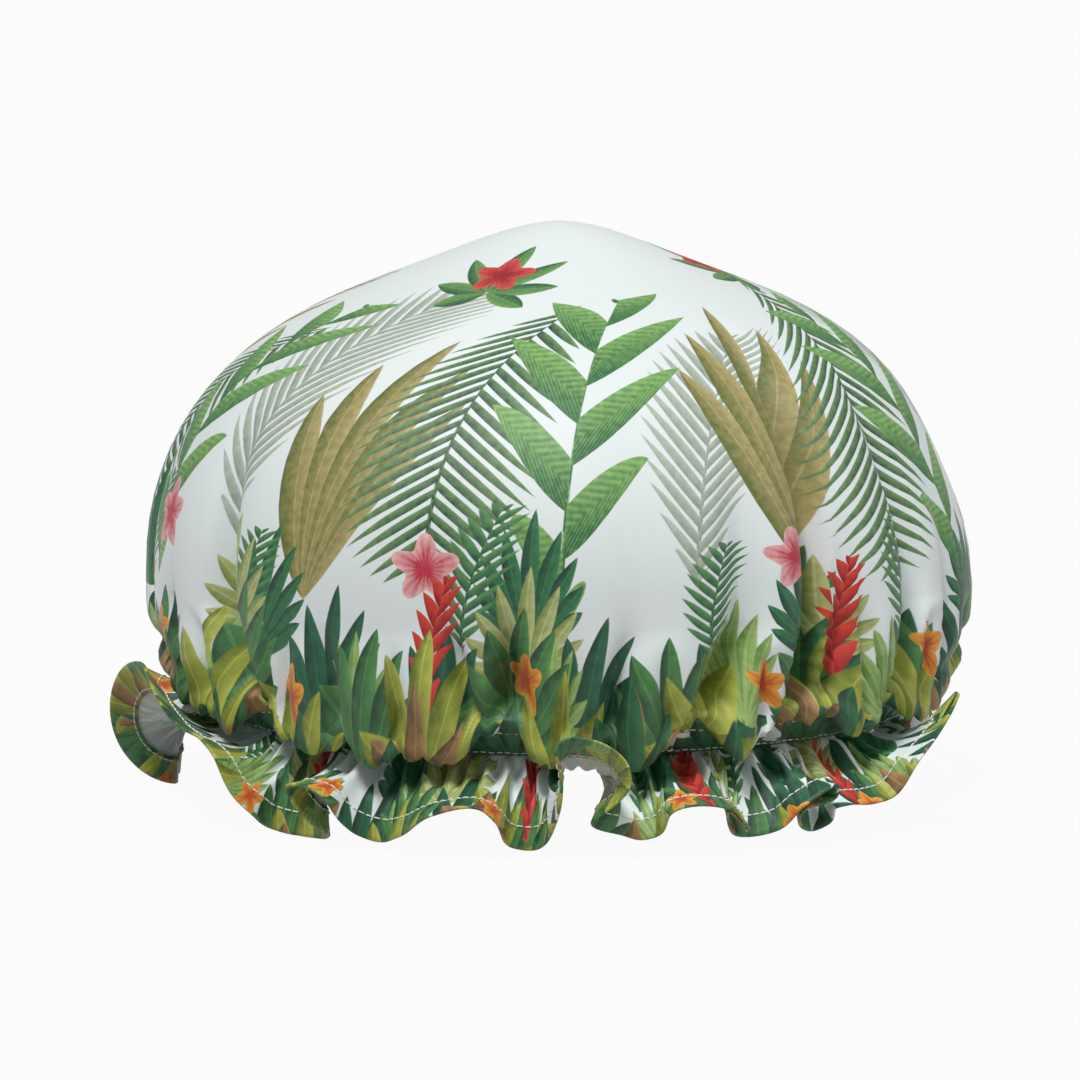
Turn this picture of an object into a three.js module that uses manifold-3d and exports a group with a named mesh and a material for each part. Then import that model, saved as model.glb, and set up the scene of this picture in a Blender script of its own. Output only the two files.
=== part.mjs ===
// A lined satin shower cap with a gathered ruffle, standing on its hem as it does on a shelf.
// Millimetres, +Z up. The origin is the centre of the mouth, on the surface that the hem stands on.
// Azimuths are degrees round the cap: 0 is the front (-Y) and 90 is the right side (+X).

import * as THREE from 'three';
import { mergeVertices } from 'three/addons/utils/BufferGeometryUtils.js';
import Module from 'manifold-3d';

const wasm = await Module();
wasm.setup();

// Crown, with its heights measured up from the gathering seam
const CROWN_WIDTH = 298;
const CROWN_RISE = 173;
const FULLEST_RISE = 46;
const PEAK_EXPONENT = 1.5;
const SHOULDER_EXPONENT = 2.2;
const UNDERTURN = 0.45;

// Opening at the gathering seam, and how far the casing above it leans out from upright
const OPENING_WIDTH = 260;
const CASING_LEAN = 45;

// Layers of cloth, and the slack between them
const CLOTH = 0.5;
const LINING = 0.4;
const TAPE = 0.4;
const LAYER_GAP = 0.3;

// Elastic and its casing
const ELASTIC_WIDTH = 8;
const ELASTIC_THICKNESS = 1;
const ELASTIC_LAP = 14;
const LAP_RAMP = 24;
const RUNNING_GAP = 0.4;
const TAPE_FOOT = 2;
const TAPE_MARGIN = 0.5;

// Ruffle, measured along the strip from the seam to the hem
const RUFFLE_WIDTH = 34;
const HEM_WIDTH = 6;
const RUFFLE_ROOT_ANGLE = 48;
const RUFFLE_ROOT_SHARE = 0.4;
const REST_CUT = 0.5;

// Sideways swing of the hem between two turns whose flares differ by a given angle
const HEM_SWING = 13;
const SWING_FLARE = 90;

// Sewing thread
const THREAD_RADIUS = 0.3;
const THREAD_SIDES = 5;
const TACK_STITCHES = 5;
const END_SEAM_INSET = 0.15;
const HEM_STITCH_LIFT = 0.15;

// Places on the meridian of the crown, which runs from 0 at its top
const FULLEST = 1;
const CASING_TOP = 2;
const SEAM = 3;

// Where the folds of the crown start to level out, and how far along the meridian each one deepens
const LEVELLING = 1.65;
const FOLD_RUN = 0.6;

// Facets, and the steps over which slopes are measured
const COLUMNS = 76;
const UPPER_RINGS = [0.1, 0.24, 0.38, 0.53, 0.68, 0.84];
const LOWER_RINGS = [1.05, 1.35, LEVELLING, CASING_TOP, SEAM];
const FLANK_STEPS = 4;
const LEVEL_STEPS = 1;
const FLANK_CHANGE = 20;
const MERIDIAN_STEP = 0.002;
const STRIP_STEP = 0.01;

// Folds that the gathering draws into the crown: azimuth, depth, half width in degrees, and where each
// one starts on the meridian
const FOLDS = [
  [-76, 3.5, 6, 1.1], [-60, 4, 6, 1.05], [-47, 5, 6, 0.85], [-26, 3, 6, 1.2], [-9, 4.5, 6, 1.1],
  [4, 3, 6, 1.25], [19.5, 4.5, 6, 1.1], [34.5, 6, 5.5, 0.55], [45, 5, 5.5, 0.95], [55, 5, 5.5, 1.1],
  [68, 4.5, 6, 0.95], [84, 4, 6, 1.1], [99, 5, 6, 0.9], [114, 4, 6, 1.1], [131, 5.5, 6, 0.75],
  [146, 4, 6, 1.1], [163, 5, 6, 0.95], [178, 4, 6, 1.15], [194, 5.5, 6, 0.7], [211, 4, 6, 1.1],
  [226, 5, 6, 0.95], [241, 4, 6, 1.1], [260, 5, 6, 0.9],
];
const PUCKER = 2;

// Turns of the hem round the cap: azimuth, and the flare there from straight down
const HEM_TURNS = [
  [-96, 26], [-88, 18], [-81, 110], [-59, 92], [-47, 30], [-38, 18], [-33.5, 84], [-29, 24], [-24, 21],
  [-13, 66], [-7, 20], [-2, 18], [3, 112], [6.5, 26], [11, 20], [18, 68], [25, 26], [29, 22],
  [33.5, 60], [37, 28], [40.5, 25], [44, 52], [49, 47], [63, 106], [77, 30], [85, 18], [98, 92],
  [111, 18], [124, 78], [136, 20], [150, 98], [163, 18], [175, 72], [187, 20], [200, 94], [213, 18],
  [226, 76], [238, 19], [251, 90],
];
const END_SEAM_TURN = 33;

// Finishes of the cloth, film, tape, elastic and thread
const SATIN_FINISH = { color: '#b9cdb8', roughness: 0.55, metalness: 0 };
const FILM_FINISH = { color: '#dde3e4', roughness: 0.4, metalness: 0 };
const TAPE_FINISH = { color: '#eef0ee', roughness: 0.7, metalness: 0 };
const ELASTIC_FINISH = { color: '#f6f6f2', roughness: 0.8, metalness: 0 };
const THREAD_FINISH = { color: '#f2f2ee', roughness: 0.6, metalness: 0 };

// Sizes that follow from those above
const seamRadius = OPENING_WIDTH / 2;
const tunnelWidth = ELASTIC_WIDTH + 2 * RUNNING_GAP;
const casingDepth = 2 * (TAPE_MARGIN + TAPE_FOOT + TAPE) + tunnelWidth;
const liningFace = CLOTH / 2 + LAYER_GAP + LINING;
const elasticFace = liningFace + RUNNING_GAP;
const lapStep = ELASTIC_THICKNESS + LAYER_GAP;
const lapFace = elasticFace + lapStep + ELASTIC_THICKNESS;
const tunnelRoof = lapFace + LAYER_GAP + 2 * THREAD_RADIUS + RUNNING_GAP;
const lowerStitch = TAPE_MARGIN + TAPE_FOOT / 2;
const upperStitch = casingDepth - lowerStitch;
const threadStandoff = LAYER_GAP + THREAD_RADIUS;
const hemShare = 1 - HEM_WIDTH / RUFFLE_WIDTH;

const { degToRad, smoothstep } = THREE.MathUtils;
const seam = new THREE.Vector2(seamRadius, 0);
const casingTop = new THREE.Vector2(
  seamRadius + casingDepth * Math.sin(degToRad(CASING_LEAN)),
  casingDepth * Math.cos(degToRad(CASING_LEAN)),
);
const underturn = lowerCurve();

// Curve of the meridian from the fullest part of the crown down to the top of the casing
function lowerCurve() {
  const fullest = new THREE.Vector2(CROWN_WIDTH / 2, FULLEST_RISE);
  const handle = UNDERTURN * (FULLEST_RISE - casingTop.y);
  const slope = casingTop.clone().sub(seam).normalize();
  const down = fullest.clone().setY(FULLEST_RISE - handle);
  const up = casingTop.clone().addScaledVector(slope, handle);
  return new THREE.CubicBezierCurve(fullest, down, up, casingTop);
}

// Radius and rise of the crown at a place on its meridian
function meridian(v) {
  if (v >= CASING_TOP) {
    return casingTop.clone().lerp(seam, v - CASING_TOP);
  }
  if (v >= FULLEST) {
    return underturn.getPoint(v - FULLEST);
  }
  const polar = (v * Math.PI) / 2;
  const radius = (CROWN_WIDTH / 2) * Math.sin(polar) ** (2 / PEAK_EXPONENT);
  const rise = (CROWN_RISE - FULLEST_RISE) * Math.cos(polar) ** (2 / SHOULDER_EXPONENT);
  return new THREE.Vector2(radius, FULLEST_RISE + rise);
}

// Outward direction square to the meridian
function meridianNormal(v) {
  const before = meridian(Math.max(v - MERIDIAN_STEP, 0));
  const after = meridian(Math.min(v + MERIDIAN_STEP, SEAM));
  return new THREE.Vector2(before.y - after.y, after.x - before.x).normalize();
}

const radial = (azimuth) => new THREE.Vector3(Math.sin(azimuth), -Math.cos(azimuth), 0);

const turned = (flat, azimuth) => radial(azimuth).multiplyScalar(flat.x).setZ(flat.y);

// A point at a height off the crown's middle surface, at an azimuth in radians
function crownPoint(azimuth, v, height) {
  return turned(meridian(v).addScaledVector(meridianNormal(v), height), azimuth);
}

// How near an azimuth lies to the bottom of a fold, from 0 to 1
function foldShare(azimuth, centre, halfWidth) {
  const away = Math.atan2(Math.sin(azimuth - degToRad(centre)), Math.cos(azimuth - degToRad(centre)));
  const share = Math.min(Math.abs(away) / degToRad(halfWidth), 1);
  return (1 + Math.cos(Math.PI * share)) / 2;
}

// Depth of the folds, which level out where the casing holds the cloth flat
function foldDepth(azimuth, v) {
  const depths = FOLDS.map(([centre, depth, halfWidth, start]) => (
    depth * foldShare(azimuth, centre, halfWidth) * smoothstep(v, start, start + FOLD_RUN)
  ));
  return (1 - smoothstep(v, LEVELLING, CASING_TOP)) * Math.max(...depths);
}

// Height of the puckers that the elastic raises in the outer cloth over the casing
function pucker(azimuth, v) {
  const valley = Math.max(...FOLDS.map(([centre, , halfWidth]) => foldShare(azimuth, centre, halfWidth)));
  const raised = v < CASING_TOP ? smoothstep(v, LEVELLING, CASING_TOP) : SEAM - v;
  return PUCKER * (1 - valley) * raised;
}

// Triangles between a ring and the next, which has as many points, twice as many, or follows a single point
function band(ring, next, start, nextStart) {
  const steps = Array.from({ length: next.length }, (_, i) => [i, (i + 1) % next.length]);
  if (ring.length === 1) {
    return steps.flatMap(([i, j]) => [start, nextStart + j, nextStart + i]);
  }
  if (ring.length === next.length) {
    return steps.flatMap(([i, j]) => [
      start + i, start + j, nextStart + j, start + i, nextStart + j, nextStart + i,
    ]);
  }
  return ring.flatMap((_, i) => {
    const j = (i + 1) % ring.length;
    const middle = nextStart + 2 * i + 1;
    return [
      start + i, middle, middle - 1, start + i, start + j, middle, start + j, nextStart + 2 * j, middle,
    ];
  });
}

// A closed shell between the rings of its front and of its back, with the same triangles on both
function shell(front, back) {
  const points = [...front, ...back].flat();
  const depth = points.length / 2;
  const starts = [];
  let total = 0;
  for (const ring of front) {
    starts.push(total);
    total += ring.length;
  }
  const last = front.length - 1;
  const face = front.slice(1).flatMap((ring, k) => band(front[k], ring, starts[k], starts[k + 1]));
  const reverse = face.map((corner) => corner + depth).reverse();
  const rim = band(front[last], back[last], starts[last], starts[last] + depth);
  const root = front[0].length > 1 ? band(back[0], front[0], depth, 0) : [];
  return closedSurface(points, [...face, ...reverse, ...rim, ...root]);
}

// Joins loops of equally many points into one closed surface, endless or capped at its first and last loop
function skin(loops, endless) {
  const count = loops[0].length;
  const points = loops.flat();
  const pairs = endless ? loops : loops.slice(1);
  const index = pairs.flatMap((_, k) => (
    band(loops[k], loops[k], k * count, ((k + 1) % loops.length) * count)
  ));
  if (!endless) {
    closeLoop(points, index, 0, count, true);
    closeLoop(points, index, (loops.length - 1) * count, count, false);
  }
  return closedSurface(points, index);
}

function closedSurface(points, index) {
  const geometry = new THREE.BufferGeometry().setFromPoints(points);
  geometry.setIndex(facingOut(points, index));
  geometry.computeVertexNormals();
  return geometry;
}

// Closes a loop with a fan about its centre
function closeLoop(points, index, start, count, first) {
  const loop = points.slice(start, start + count);
  const centre = loop.reduce((sum, point) => sum.add(point), new THREE.Vector3()).divideScalar(count);
  points.push(centre);
  for (let i = 0; i < count; i++) {
    const edge = [start + i, start + ((i + 1) % count)];
    index.push(points.length - 1, ...(first ? edge.reverse() : edge));
  }
}

// Triangles turned, if need be, so that the surface they close faces out
function facingOut(points, index) {
  let volume = 0;
  for (let i = 0; i < index.length; i += 3) {
    const [a, b, c] = index.slice(i, i + 3).map((corner) => points[corner]);
    volume += a.dot(b.clone().cross(c));
  }
  return volume < 0 ? index.reverse() : index;
}

// Columns of points round the cap
function azimuths(count) {
  return Array.from({ length: count }, (_, column) => (2 * Math.PI * column) / count);
}

// A ring round the cap at a share of the meridian
function ring(v, count, height) {
  return azimuths(count).map((azimuth) => crownPoint(azimuth, v, height(azimuth, v)));
}

// A dome of cloth of one thickness, with half as many columns above its fullest part
function dome(thickness, height) {
  const face = (offset) => {
    const lifted = (azimuth, v) => height(azimuth, v) + offset;
    return [
      [crownPoint(0, 0, lifted(0, 0))],
      ...UPPER_RINGS.map((v) => ring(v, COLUMNS / 2, lifted)),
      ...LOWER_RINGS.map((v) => ring(v, COLUMNS, lifted)),
    ];
  };
  return shell(face(thickness / 2), face(-thickness / 2));
}

function outerCrown() {
  return dome(CLOTH, (azimuth, v) => pucker(azimuth, v) - foldDepth(azimuth, v));
}

function waterproofLining() {
  const inset = liningFace - LINING / 2;
  return dome(LINING, (azimuth, v) => -foldDepth(azimuth, v) - inset);
}

// A point in the casing, at a distance up from the seam and a depth in from the crown's middle surface
function casingPoint(azimuth, up, depth) {
  return crownPoint(azimuth, SEAM - up / casingDepth, -depth);
}

// A channel of tape, with a foot along each edge that is stitched to the lining
function elasticCasing() {
  const foot = liningFace + LAYER_GAP;
  const wall = TAPE_MARGIN + TAPE_FOOT + TAPE;
  const farWall = wall + tunnelWidth;
  const farEdge = casingDepth - TAPE_MARGIN;
  const section = [
    [TAPE_MARGIN, foot], [wall, foot], [wall, tunnelRoof],
    [farWall, tunnelRoof], [farWall, foot], [farEdge, foot],
    [farEdge, foot + TAPE], [farWall + TAPE, foot + TAPE], [farWall + TAPE, tunnelRoof + TAPE],
    [wall - TAPE, tunnelRoof + TAPE], [wall - TAPE, foot + TAPE], [TAPE_MARGIN, foot + TAPE],
  ];
  const loops = azimuths(COLUMNS).map((azimuth) => (
    section.map(([up, depth]) => casingPoint(azimuth, up, depth))
  ));
  return skin(loops, true);
}

// Flat elastic laid once round the tunnel, its second end lapped over the first at the back
function elasticBand() {
  const lapAngle = ELASTIC_LAP / seamRadius;
  const rampAngle = LAP_RAMP / seamRadius;
  const low = TAPE_MARGIN + TAPE_FOOT + TAPE + RUNNING_GAP;
  const high = low + ELASTIC_WIDTH;
  const steps = COLUMNS + Math.ceil((lapAngle / (2 * Math.PI)) * COLUMNS);
  const loops = Array.from({ length: steps + 1 }, (_, step) => {
    const angle = ((2 * Math.PI + lapAngle) * step) / steps;
    const face = elasticFace + lapStep * smoothstep(angle, 2 * Math.PI - rampAngle, 2 * Math.PI);
    const section = [
      [low, face], [high, face], [high, face + ELASTIC_THICKNESS], [low, face + ELASTIC_THICKNESS],
    ];
    return section.map(([up, depth]) => casingPoint(Math.PI + angle, up, depth));
  });
  return skin(loops, false);
}

// A thread along points that lie over a surface, given the direction square to that surface at each
function thread(points, normals, endless) {
  const last = points.length - 1;
  const loops = points.map((point, i) => {
    const before = points[i > 0 ? i - 1 : endless ? last : 0];
    const after = points[i < last ? i + 1 : endless ? 0 : last];
    const along = after.clone().sub(before).normalize();
    const side = along.clone().cross(normals[i]).normalize();
    const up = side.clone().cross(along);
    return Array.from({ length: THREAD_SIDES }, (_, corner) => {
      const turn = (2 * Math.PI * corner) / THREAD_SIDES;
      return point.clone()
        .addScaledVector(up, THREAD_RADIUS * Math.cos(turn))
        .addScaledVector(side, THREAD_RADIUS * Math.sin(turn));
    });
  });
  return skin(loops, endless);
}

// Zigzag that holds the lapped ends of the elastic together
function elasticLapTack() {
  const low = TAPE_MARGIN + TAPE_FOOT + TAPE + RUNNING_GAP;
  const inset = ELASTIC_WIDTH / 4;
  const points = [];
  const normals = [];
  for (let stitch = 0; stitch <= TACK_STITCHES; stitch++) {
    const along = ((stitch + 0.5) / (TACK_STITCHES + 1)) * ELASTIC_LAP;
    const azimuth = Math.PI + along / seamRadius;
    const up = stitch % 2 ? low + inset : low + ELASTIC_WIDTH - inset;
    points.push(casingPoint(azimuth, up, lapFace + threadStandoff));
    normals.push(turned(meridianNormal(SEAM), azimuth));
  }
  return thread(points, normals, false);
}

// A line of stitching round the outside of the casing, at a distance up from the seam
function casingStitch(up) {
  const v = SEAM - up / casingDepth;
  const standoff = CLOTH / 2 + threadStandoff;
  const points = ring(v, COLUMNS, (azimuth) => pucker(azimuth, v) + standoff);
  const normals = azimuths(COLUMNS).map((azimuth) => turned(meridianNormal(v), azimuth));
  return thread(points, normals, true);
}

// The strip at a place along the hem's turns, at a share of its width from the seam
function rufflePoint(place, share) {
  const turn = Math.floor(place) % HEM_TURNS.length;
  const part = place - Math.floor(place);
  const [start, startFlare] = HEM_TURNS[turn];
  const [nextStart, endFlare] = HEM_TURNS[(turn + 1) % HEM_TURNS.length];
  const end = nextStart > start ? nextStart : nextStart + 360;
  const azimuth = degToRad(start + (end - start) * part);
  const flare = degToRad(startFlare + (endFlare - startFlare) * smoothstep(part, 0, 1));
  const reach = (HEM_SWING * Math.abs(endFlare - startFlare)) / SWING_FLARE;
  const swing = degToRad(reach) * Math.sin(2 * Math.PI * part);
  const across = new THREE.Vector3(Math.cos(azimuth), Math.sin(azimuth), 0);
  const hang = (angle) => radial(azimuth).multiplyScalar(Math.sin(angle)).setZ(-Math.cos(angle));
  const root = radial(azimuth).multiplyScalar(seamRadius).setZ(-LAYER_GAP - CLOTH / 2);
  const fall = hang(flare).multiplyScalar(Math.cos(swing)).addScaledVector(across, Math.sin(swing));
  const rootFall = hang(degToRad(RUFFLE_ROOT_ANGLE));
  const bend = root.clone().addScaledVector(rootFall, RUFFLE_ROOT_SHARE * RUFFLE_WIDTH);
  const hem = root.clone().addScaledVector(fall, RUFFLE_WIDTH);
  return new THREE.QuadraticBezierCurve3(root, bend, hem).getPoint(share);
}

// Direction square to the strip, away from the inside of the cap
function ruffleNormal(place, share) {
  const before = (place - STRIP_STEP + HEM_TURNS.length) % HEM_TURNS.length;
  const along = rufflePoint(place + STRIP_STEP, share).sub(rufflePoint(before, share));
  const upper = rufflePoint(place, Math.max(share - STRIP_STEP, 0));
  const lower = rufflePoint(place, Math.min(share + STRIP_STEP, 1));
  return lower.sub(upper).cross(along).normalize();
}

// Places along the hem, closer together where the strip turns in or out
function rufflePlaces() {
  return HEM_TURNS.flatMap(([, flare], turn) => {
    const [, nextFlare] = HEM_TURNS[(turn + 1) % HEM_TURNS.length];
    const steps = Math.abs(nextFlare - flare) > FLANK_CHANGE ? FLANK_STEPS : LEVEL_STEPS;
    return Array.from({ length: steps }, (_, step) => turn + step / steps);
  });
}

// The gathered strip, doubled by its folded hem
function ruffleStrip() {
  const places = rufflePlaces();
  const layers = [[0, CLOTH], [hemShare / 2, CLOTH], [hemShare, 2 * CLOTH], [1, 2 * CLOTH]];
  const outer = layers.map(([share]) => places.map((place) => rufflePoint(place, share)));
  const inner = layers.map(([share, depth]) => places.map((place) => (
    rufflePoint(place, share).addScaledVector(ruffleNormal(place, share), -depth)
  )));
  return shell(outer, inner);
}

// The line of topstitching along the inner edge of the hem
function ruffleHemStitch() {
  const places = rufflePlaces();
  const normals = places.map((place) => ruffleNormal(place, hemShare));
  const points = places.map((place, i) => (
    rufflePoint(place, hemShare).addScaledVector(normals[i], threadStandoff + HEM_STITCH_LIFT)
  ));
  return thread(points, normals, true);
}

// The stitching that closes the strip into a ring, on its inside at the back
function ruffleEndSeam() {
  const shares = [0, hemShare / 2, hemShare];
  const normals = shares.map((share) => ruffleNormal(END_SEAM_TURN, share));
  const points = shares.map((share, i) => (
    rufflePoint(END_SEAM_TURN, share).addScaledVector(normals[i], -2 * CLOTH - threadStandoff)
  ));
  points[0].lerp(points[1], END_SEAM_INSET);
  points[2].lerp(points[1], END_SEAM_INSET);
  return thread(points, normals, false);
}

// A closed mesh as a solid that can be cut
function solid(geometry) {
  return new wasm.Manifold(new wasm.Mesh({
    numProp: 3,
    vertProperties: new Float32Array(geometry.getAttribute('position').array),
    triVerts: new Uint32Array(geometry.getIndex().array),
  }));
}

// What is left of a shape above a level, so that it stands flat there
function cutLevel(geometry, level) {
  const { min, max } = new THREE.Box3().setFromBufferAttribute(geometry.getAttribute('position'));
  const size = max.clone().sub(min).multiplyScalar(2);
  const block = new THREE.BoxGeometry(size.x, size.y, size.z);
  block.translate((min.x + max.x) / 2, (min.y + max.y) / 2, level - size.z / 2);
  block.deleteAttribute('normal');
  block.deleteAttribute('uv');
  const mesh = solid(geometry).subtract(solid(mergeVertices(block))).getMesh();
  const cut = new THREE.BufferGeometry();
  cut.setAttribute('position', new THREE.BufferAttribute(mesh.vertProperties, 3));
  cut.setIndex(new THREE.BufferAttribute(mesh.triVerts, 1));
  cut.computeVertexNormals();
  return cut;
}

function named(name, geometry, finish) {
  const mesh = new THREE.Mesh(geometry, new THREE.MeshStandardMaterial(finish));
  mesh.name = name;
  return mesh;
}

const strip = ruffleStrip();
strip.computeBoundingBox();
const restLevel = strip.boundingBox.min.z + REST_CUT;

const cap = new THREE.Group();
cap.position.z = -restLevel;
cap.add(
  named('outer_crown', outerCrown(), SATIN_FINISH),
  named('waterproof_lining', waterproofLining(), FILM_FINISH),
  named('ruffle', cutLevel(strip, restLevel), SATIN_FINISH),
  named('elastic_casing', elasticCasing(), TAPE_FINISH),
  named('elastic_band', elasticBand(), ELASTIC_FINISH),
  named('elastic_lap_tack', elasticLapTack(), THREAD_FINISH),
  named('casing_top_stitch', casingStitch(upperStitch), THREAD_FINISH),
  named('casing_bottom_stitch', casingStitch(lowerStitch), THREAD_FINISH),
  named('ruffle_hem_stitch', ruffleHemStitch(), THREAD_FINISH),
  named('ruffle_end_seam', ruffleEndSeam(), THREAD_FINISH),
);

export default cap;
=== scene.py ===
"""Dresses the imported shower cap: printed satin crown and ruffle, film lining, casing, elastic and stitching.

Sizes in the classes are millimetres, and meshes are written in metres. Azimuths run round the cap from its
front, which is -Y, through its right side, which is +X.
"""

import logging
import math
from collections.abc import Mapping, Sequence
from dataclasses import dataclass, field
from enum import Enum

import bpy
import numpy as np
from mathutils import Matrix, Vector


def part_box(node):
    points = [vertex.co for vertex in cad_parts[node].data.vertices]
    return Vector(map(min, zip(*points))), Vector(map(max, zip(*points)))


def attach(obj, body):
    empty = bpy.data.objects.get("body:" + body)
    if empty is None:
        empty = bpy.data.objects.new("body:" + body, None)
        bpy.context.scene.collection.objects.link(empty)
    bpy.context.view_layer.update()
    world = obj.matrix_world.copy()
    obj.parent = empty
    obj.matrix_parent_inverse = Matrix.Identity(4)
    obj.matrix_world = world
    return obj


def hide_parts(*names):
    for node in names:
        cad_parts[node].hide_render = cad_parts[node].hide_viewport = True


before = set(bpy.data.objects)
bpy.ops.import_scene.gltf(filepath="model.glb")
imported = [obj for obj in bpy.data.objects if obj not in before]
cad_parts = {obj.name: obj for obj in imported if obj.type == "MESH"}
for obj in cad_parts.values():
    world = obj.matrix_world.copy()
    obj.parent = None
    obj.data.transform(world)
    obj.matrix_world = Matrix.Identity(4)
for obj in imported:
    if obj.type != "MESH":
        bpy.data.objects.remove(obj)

LOG = logging.getLogger("shower_cap")
MM = 0.001
MATH = "ShaderNodeMath"
MIX = "ShaderNodeMix"
# Settings of a Mix node for two colours, and the output that carries the result
COLOUR_MIX = {"data_type": "RGBA", "output": 2}
PRINT_MAP = "print"
GIRTH_NAME = "girth"
REVERSE_NAME = "reverse"
CROWN_WIDTH = 298.0
CROWN_GIRTH = math.pi * CROWN_WIDTH
# Waves of the gathers round the seam, each with two ridges
GATHER_WAVES = 44
# Least height of cloth and thread above the table
TABLE_GAP = 0.02

Grid = np.ndarray
Colour = tuple[float, float, float, float]
Span = tuple[float, float]
Swell = tuple[float, float, float]


class Slot(Enum):
    """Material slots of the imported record."""

    SATIN = "printed_satin"
    FILM = "lining_film"
    TAPE = "casing_tape"
    ELASTIC = "elastic"
    THREAD = "thread"


class Body(Enum):
    """Bodies that the pieces ride on."""

    CAP = "cap"
    ELASTIC = "elastic"


def srgb(code: str) -> Colour:
    """Turns an sRGB hex colour into linear light.

    Args:
        code: Colour as "#rrggbb".

    Returns:
        Red, green, blue and alpha, from 0 to 1.
    """
    parts = [int(code[i : i + 2], 16) / 255 for i in (1, 3, 5)]
    red, green, blue = (p / 12.92 if p <= 0.04045 else ((p + 0.055) / 1.055) ** 2.4 for p in parts)
    return red, green, blue, 1.0


def smoothstep(value: Grid | float, low: float, high: float) -> Grid:
    """Rises smoothly from 0 at low to 1 at high."""
    part = np.clip((np.asarray(value, float) - low) / (high - low), 0, 1)
    return part * part * (3 - 2 * part)


def blurred(values: Grid, passes: int, axis: int) -> Grid:
    """Averages each value with its neighbours round a closed axis.

    Args:
        values: Numbers on a grid that closes on itself along the axis.
        passes: How often each value is averaged.
        axis: Axis that is blurred.

    Returns:
        The blurred grid.
    """
    for _ in range(passes):
        values = (np.roll(values, 1, axis) + 2 * values + np.roll(values, -1, axis)) / 4
    return values


def plug(tree: bpy.types.NodeTree, node: bpy.types.Node, inputs: Mapping[int | str, object]) -> None:
    """Sets or links inputs of a node.

    Args:
        tree: Tree that holds the node.
        node: The node.
        inputs: Socket, field or value for each input, by its name or number.
    """
    for key, value in inputs.items():
        source = value.socket if isinstance(value, Field) else value
        if isinstance(source, bpy.types.NodeSocket):
            tree.links.new(source, node.inputs[key])
        else:
            node.inputs[key].default_value = source


def add_node(
    tree: bpy.types.NodeTree,
    kind: str,
    inputs: Mapping[int | str, object] | None = None,
    **settings: object,
) -> bpy.types.Node:
    """Adds a node, with its settings and with its inputs set or linked.

    Args:
        tree: Tree that takes the node.
        kind: Type name of the node.
        inputs: Socket, field or value for each input, by its name or number.
        settings: Properties of the node.

    Returns:
        The new node.
    """
    node = tree.nodes.new(kind)
    for name, value in settings.items():
        setattr(node, name, value)
    plug(tree, node, inputs or {})
    return node


@dataclass(frozen=True)
class Field:
    """A number or a colour that varies over a surface, as a node's output carries it."""

    tree: bpy.types.NodeTree
    socket: bpy.types.NodeSocket

    def through(
        self,
        kind: str,
        inputs: Mapping[int, object] | None = None,
        place: int = 0,
        output: int = 0,
        **settings: object,
    ) -> "Field":
        """Passes this field and other inputs through a new node, and reads one of its outputs."""
        node = add_node(self.tree, kind, {place: self, **(inputs or {})}, **settings)
        return Field(self.tree, node.outputs[output])

    def __add__(self, other: "Field | float") -> "Field":
        """Adds another number."""
        return self.through(MATH, {1: other}, operation="ADD")

    def __sub__(self, other: "Field | float") -> "Field":
        """Takes another number away."""
        return self.through(MATH, {1: other}, operation="SUBTRACT")

    def __rsub__(self, other: float) -> "Field":
        """Takes this field from a number."""
        return self.through(MATH, {0: other}, place=1, operation="SUBTRACT")

    def __mul__(self, other: "Field | float") -> "Field":
        """Multiplies by another number."""
        return self.through(MATH, {1: other}, operation="MULTIPLY")

    def __truediv__(self, other: "Field | float") -> "Field":
        """Divides by another number."""
        return self.through(MATH, {1: other}, operation="DIVIDE")

    def __pow__(self, other: float) -> "Field":
        """Raises to a power."""
        return self.through(MATH, {1: other}, operation="POWER")

    def __abs__(self) -> "Field":
        """Drops the sign."""
        return self.through(MATH, operation="ABSOLUTE")

    def edge(self, softness: float) -> "Field":
        """Cuts this distance into a shape: 1 where it is above 0, with an edge of that softness."""
        return self.through(MATH, {1: 1 / softness, 2: 0.5}, operation="MULTIPLY_ADD", use_clamp=True)


@dataclass(frozen=True)
class PrintGround:
    """Where a point lies on the cloth, along the rim and up from it, with the girth and the grain there."""

    along: Field
    up: Field
    girth: Field
    grain: Field


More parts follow.
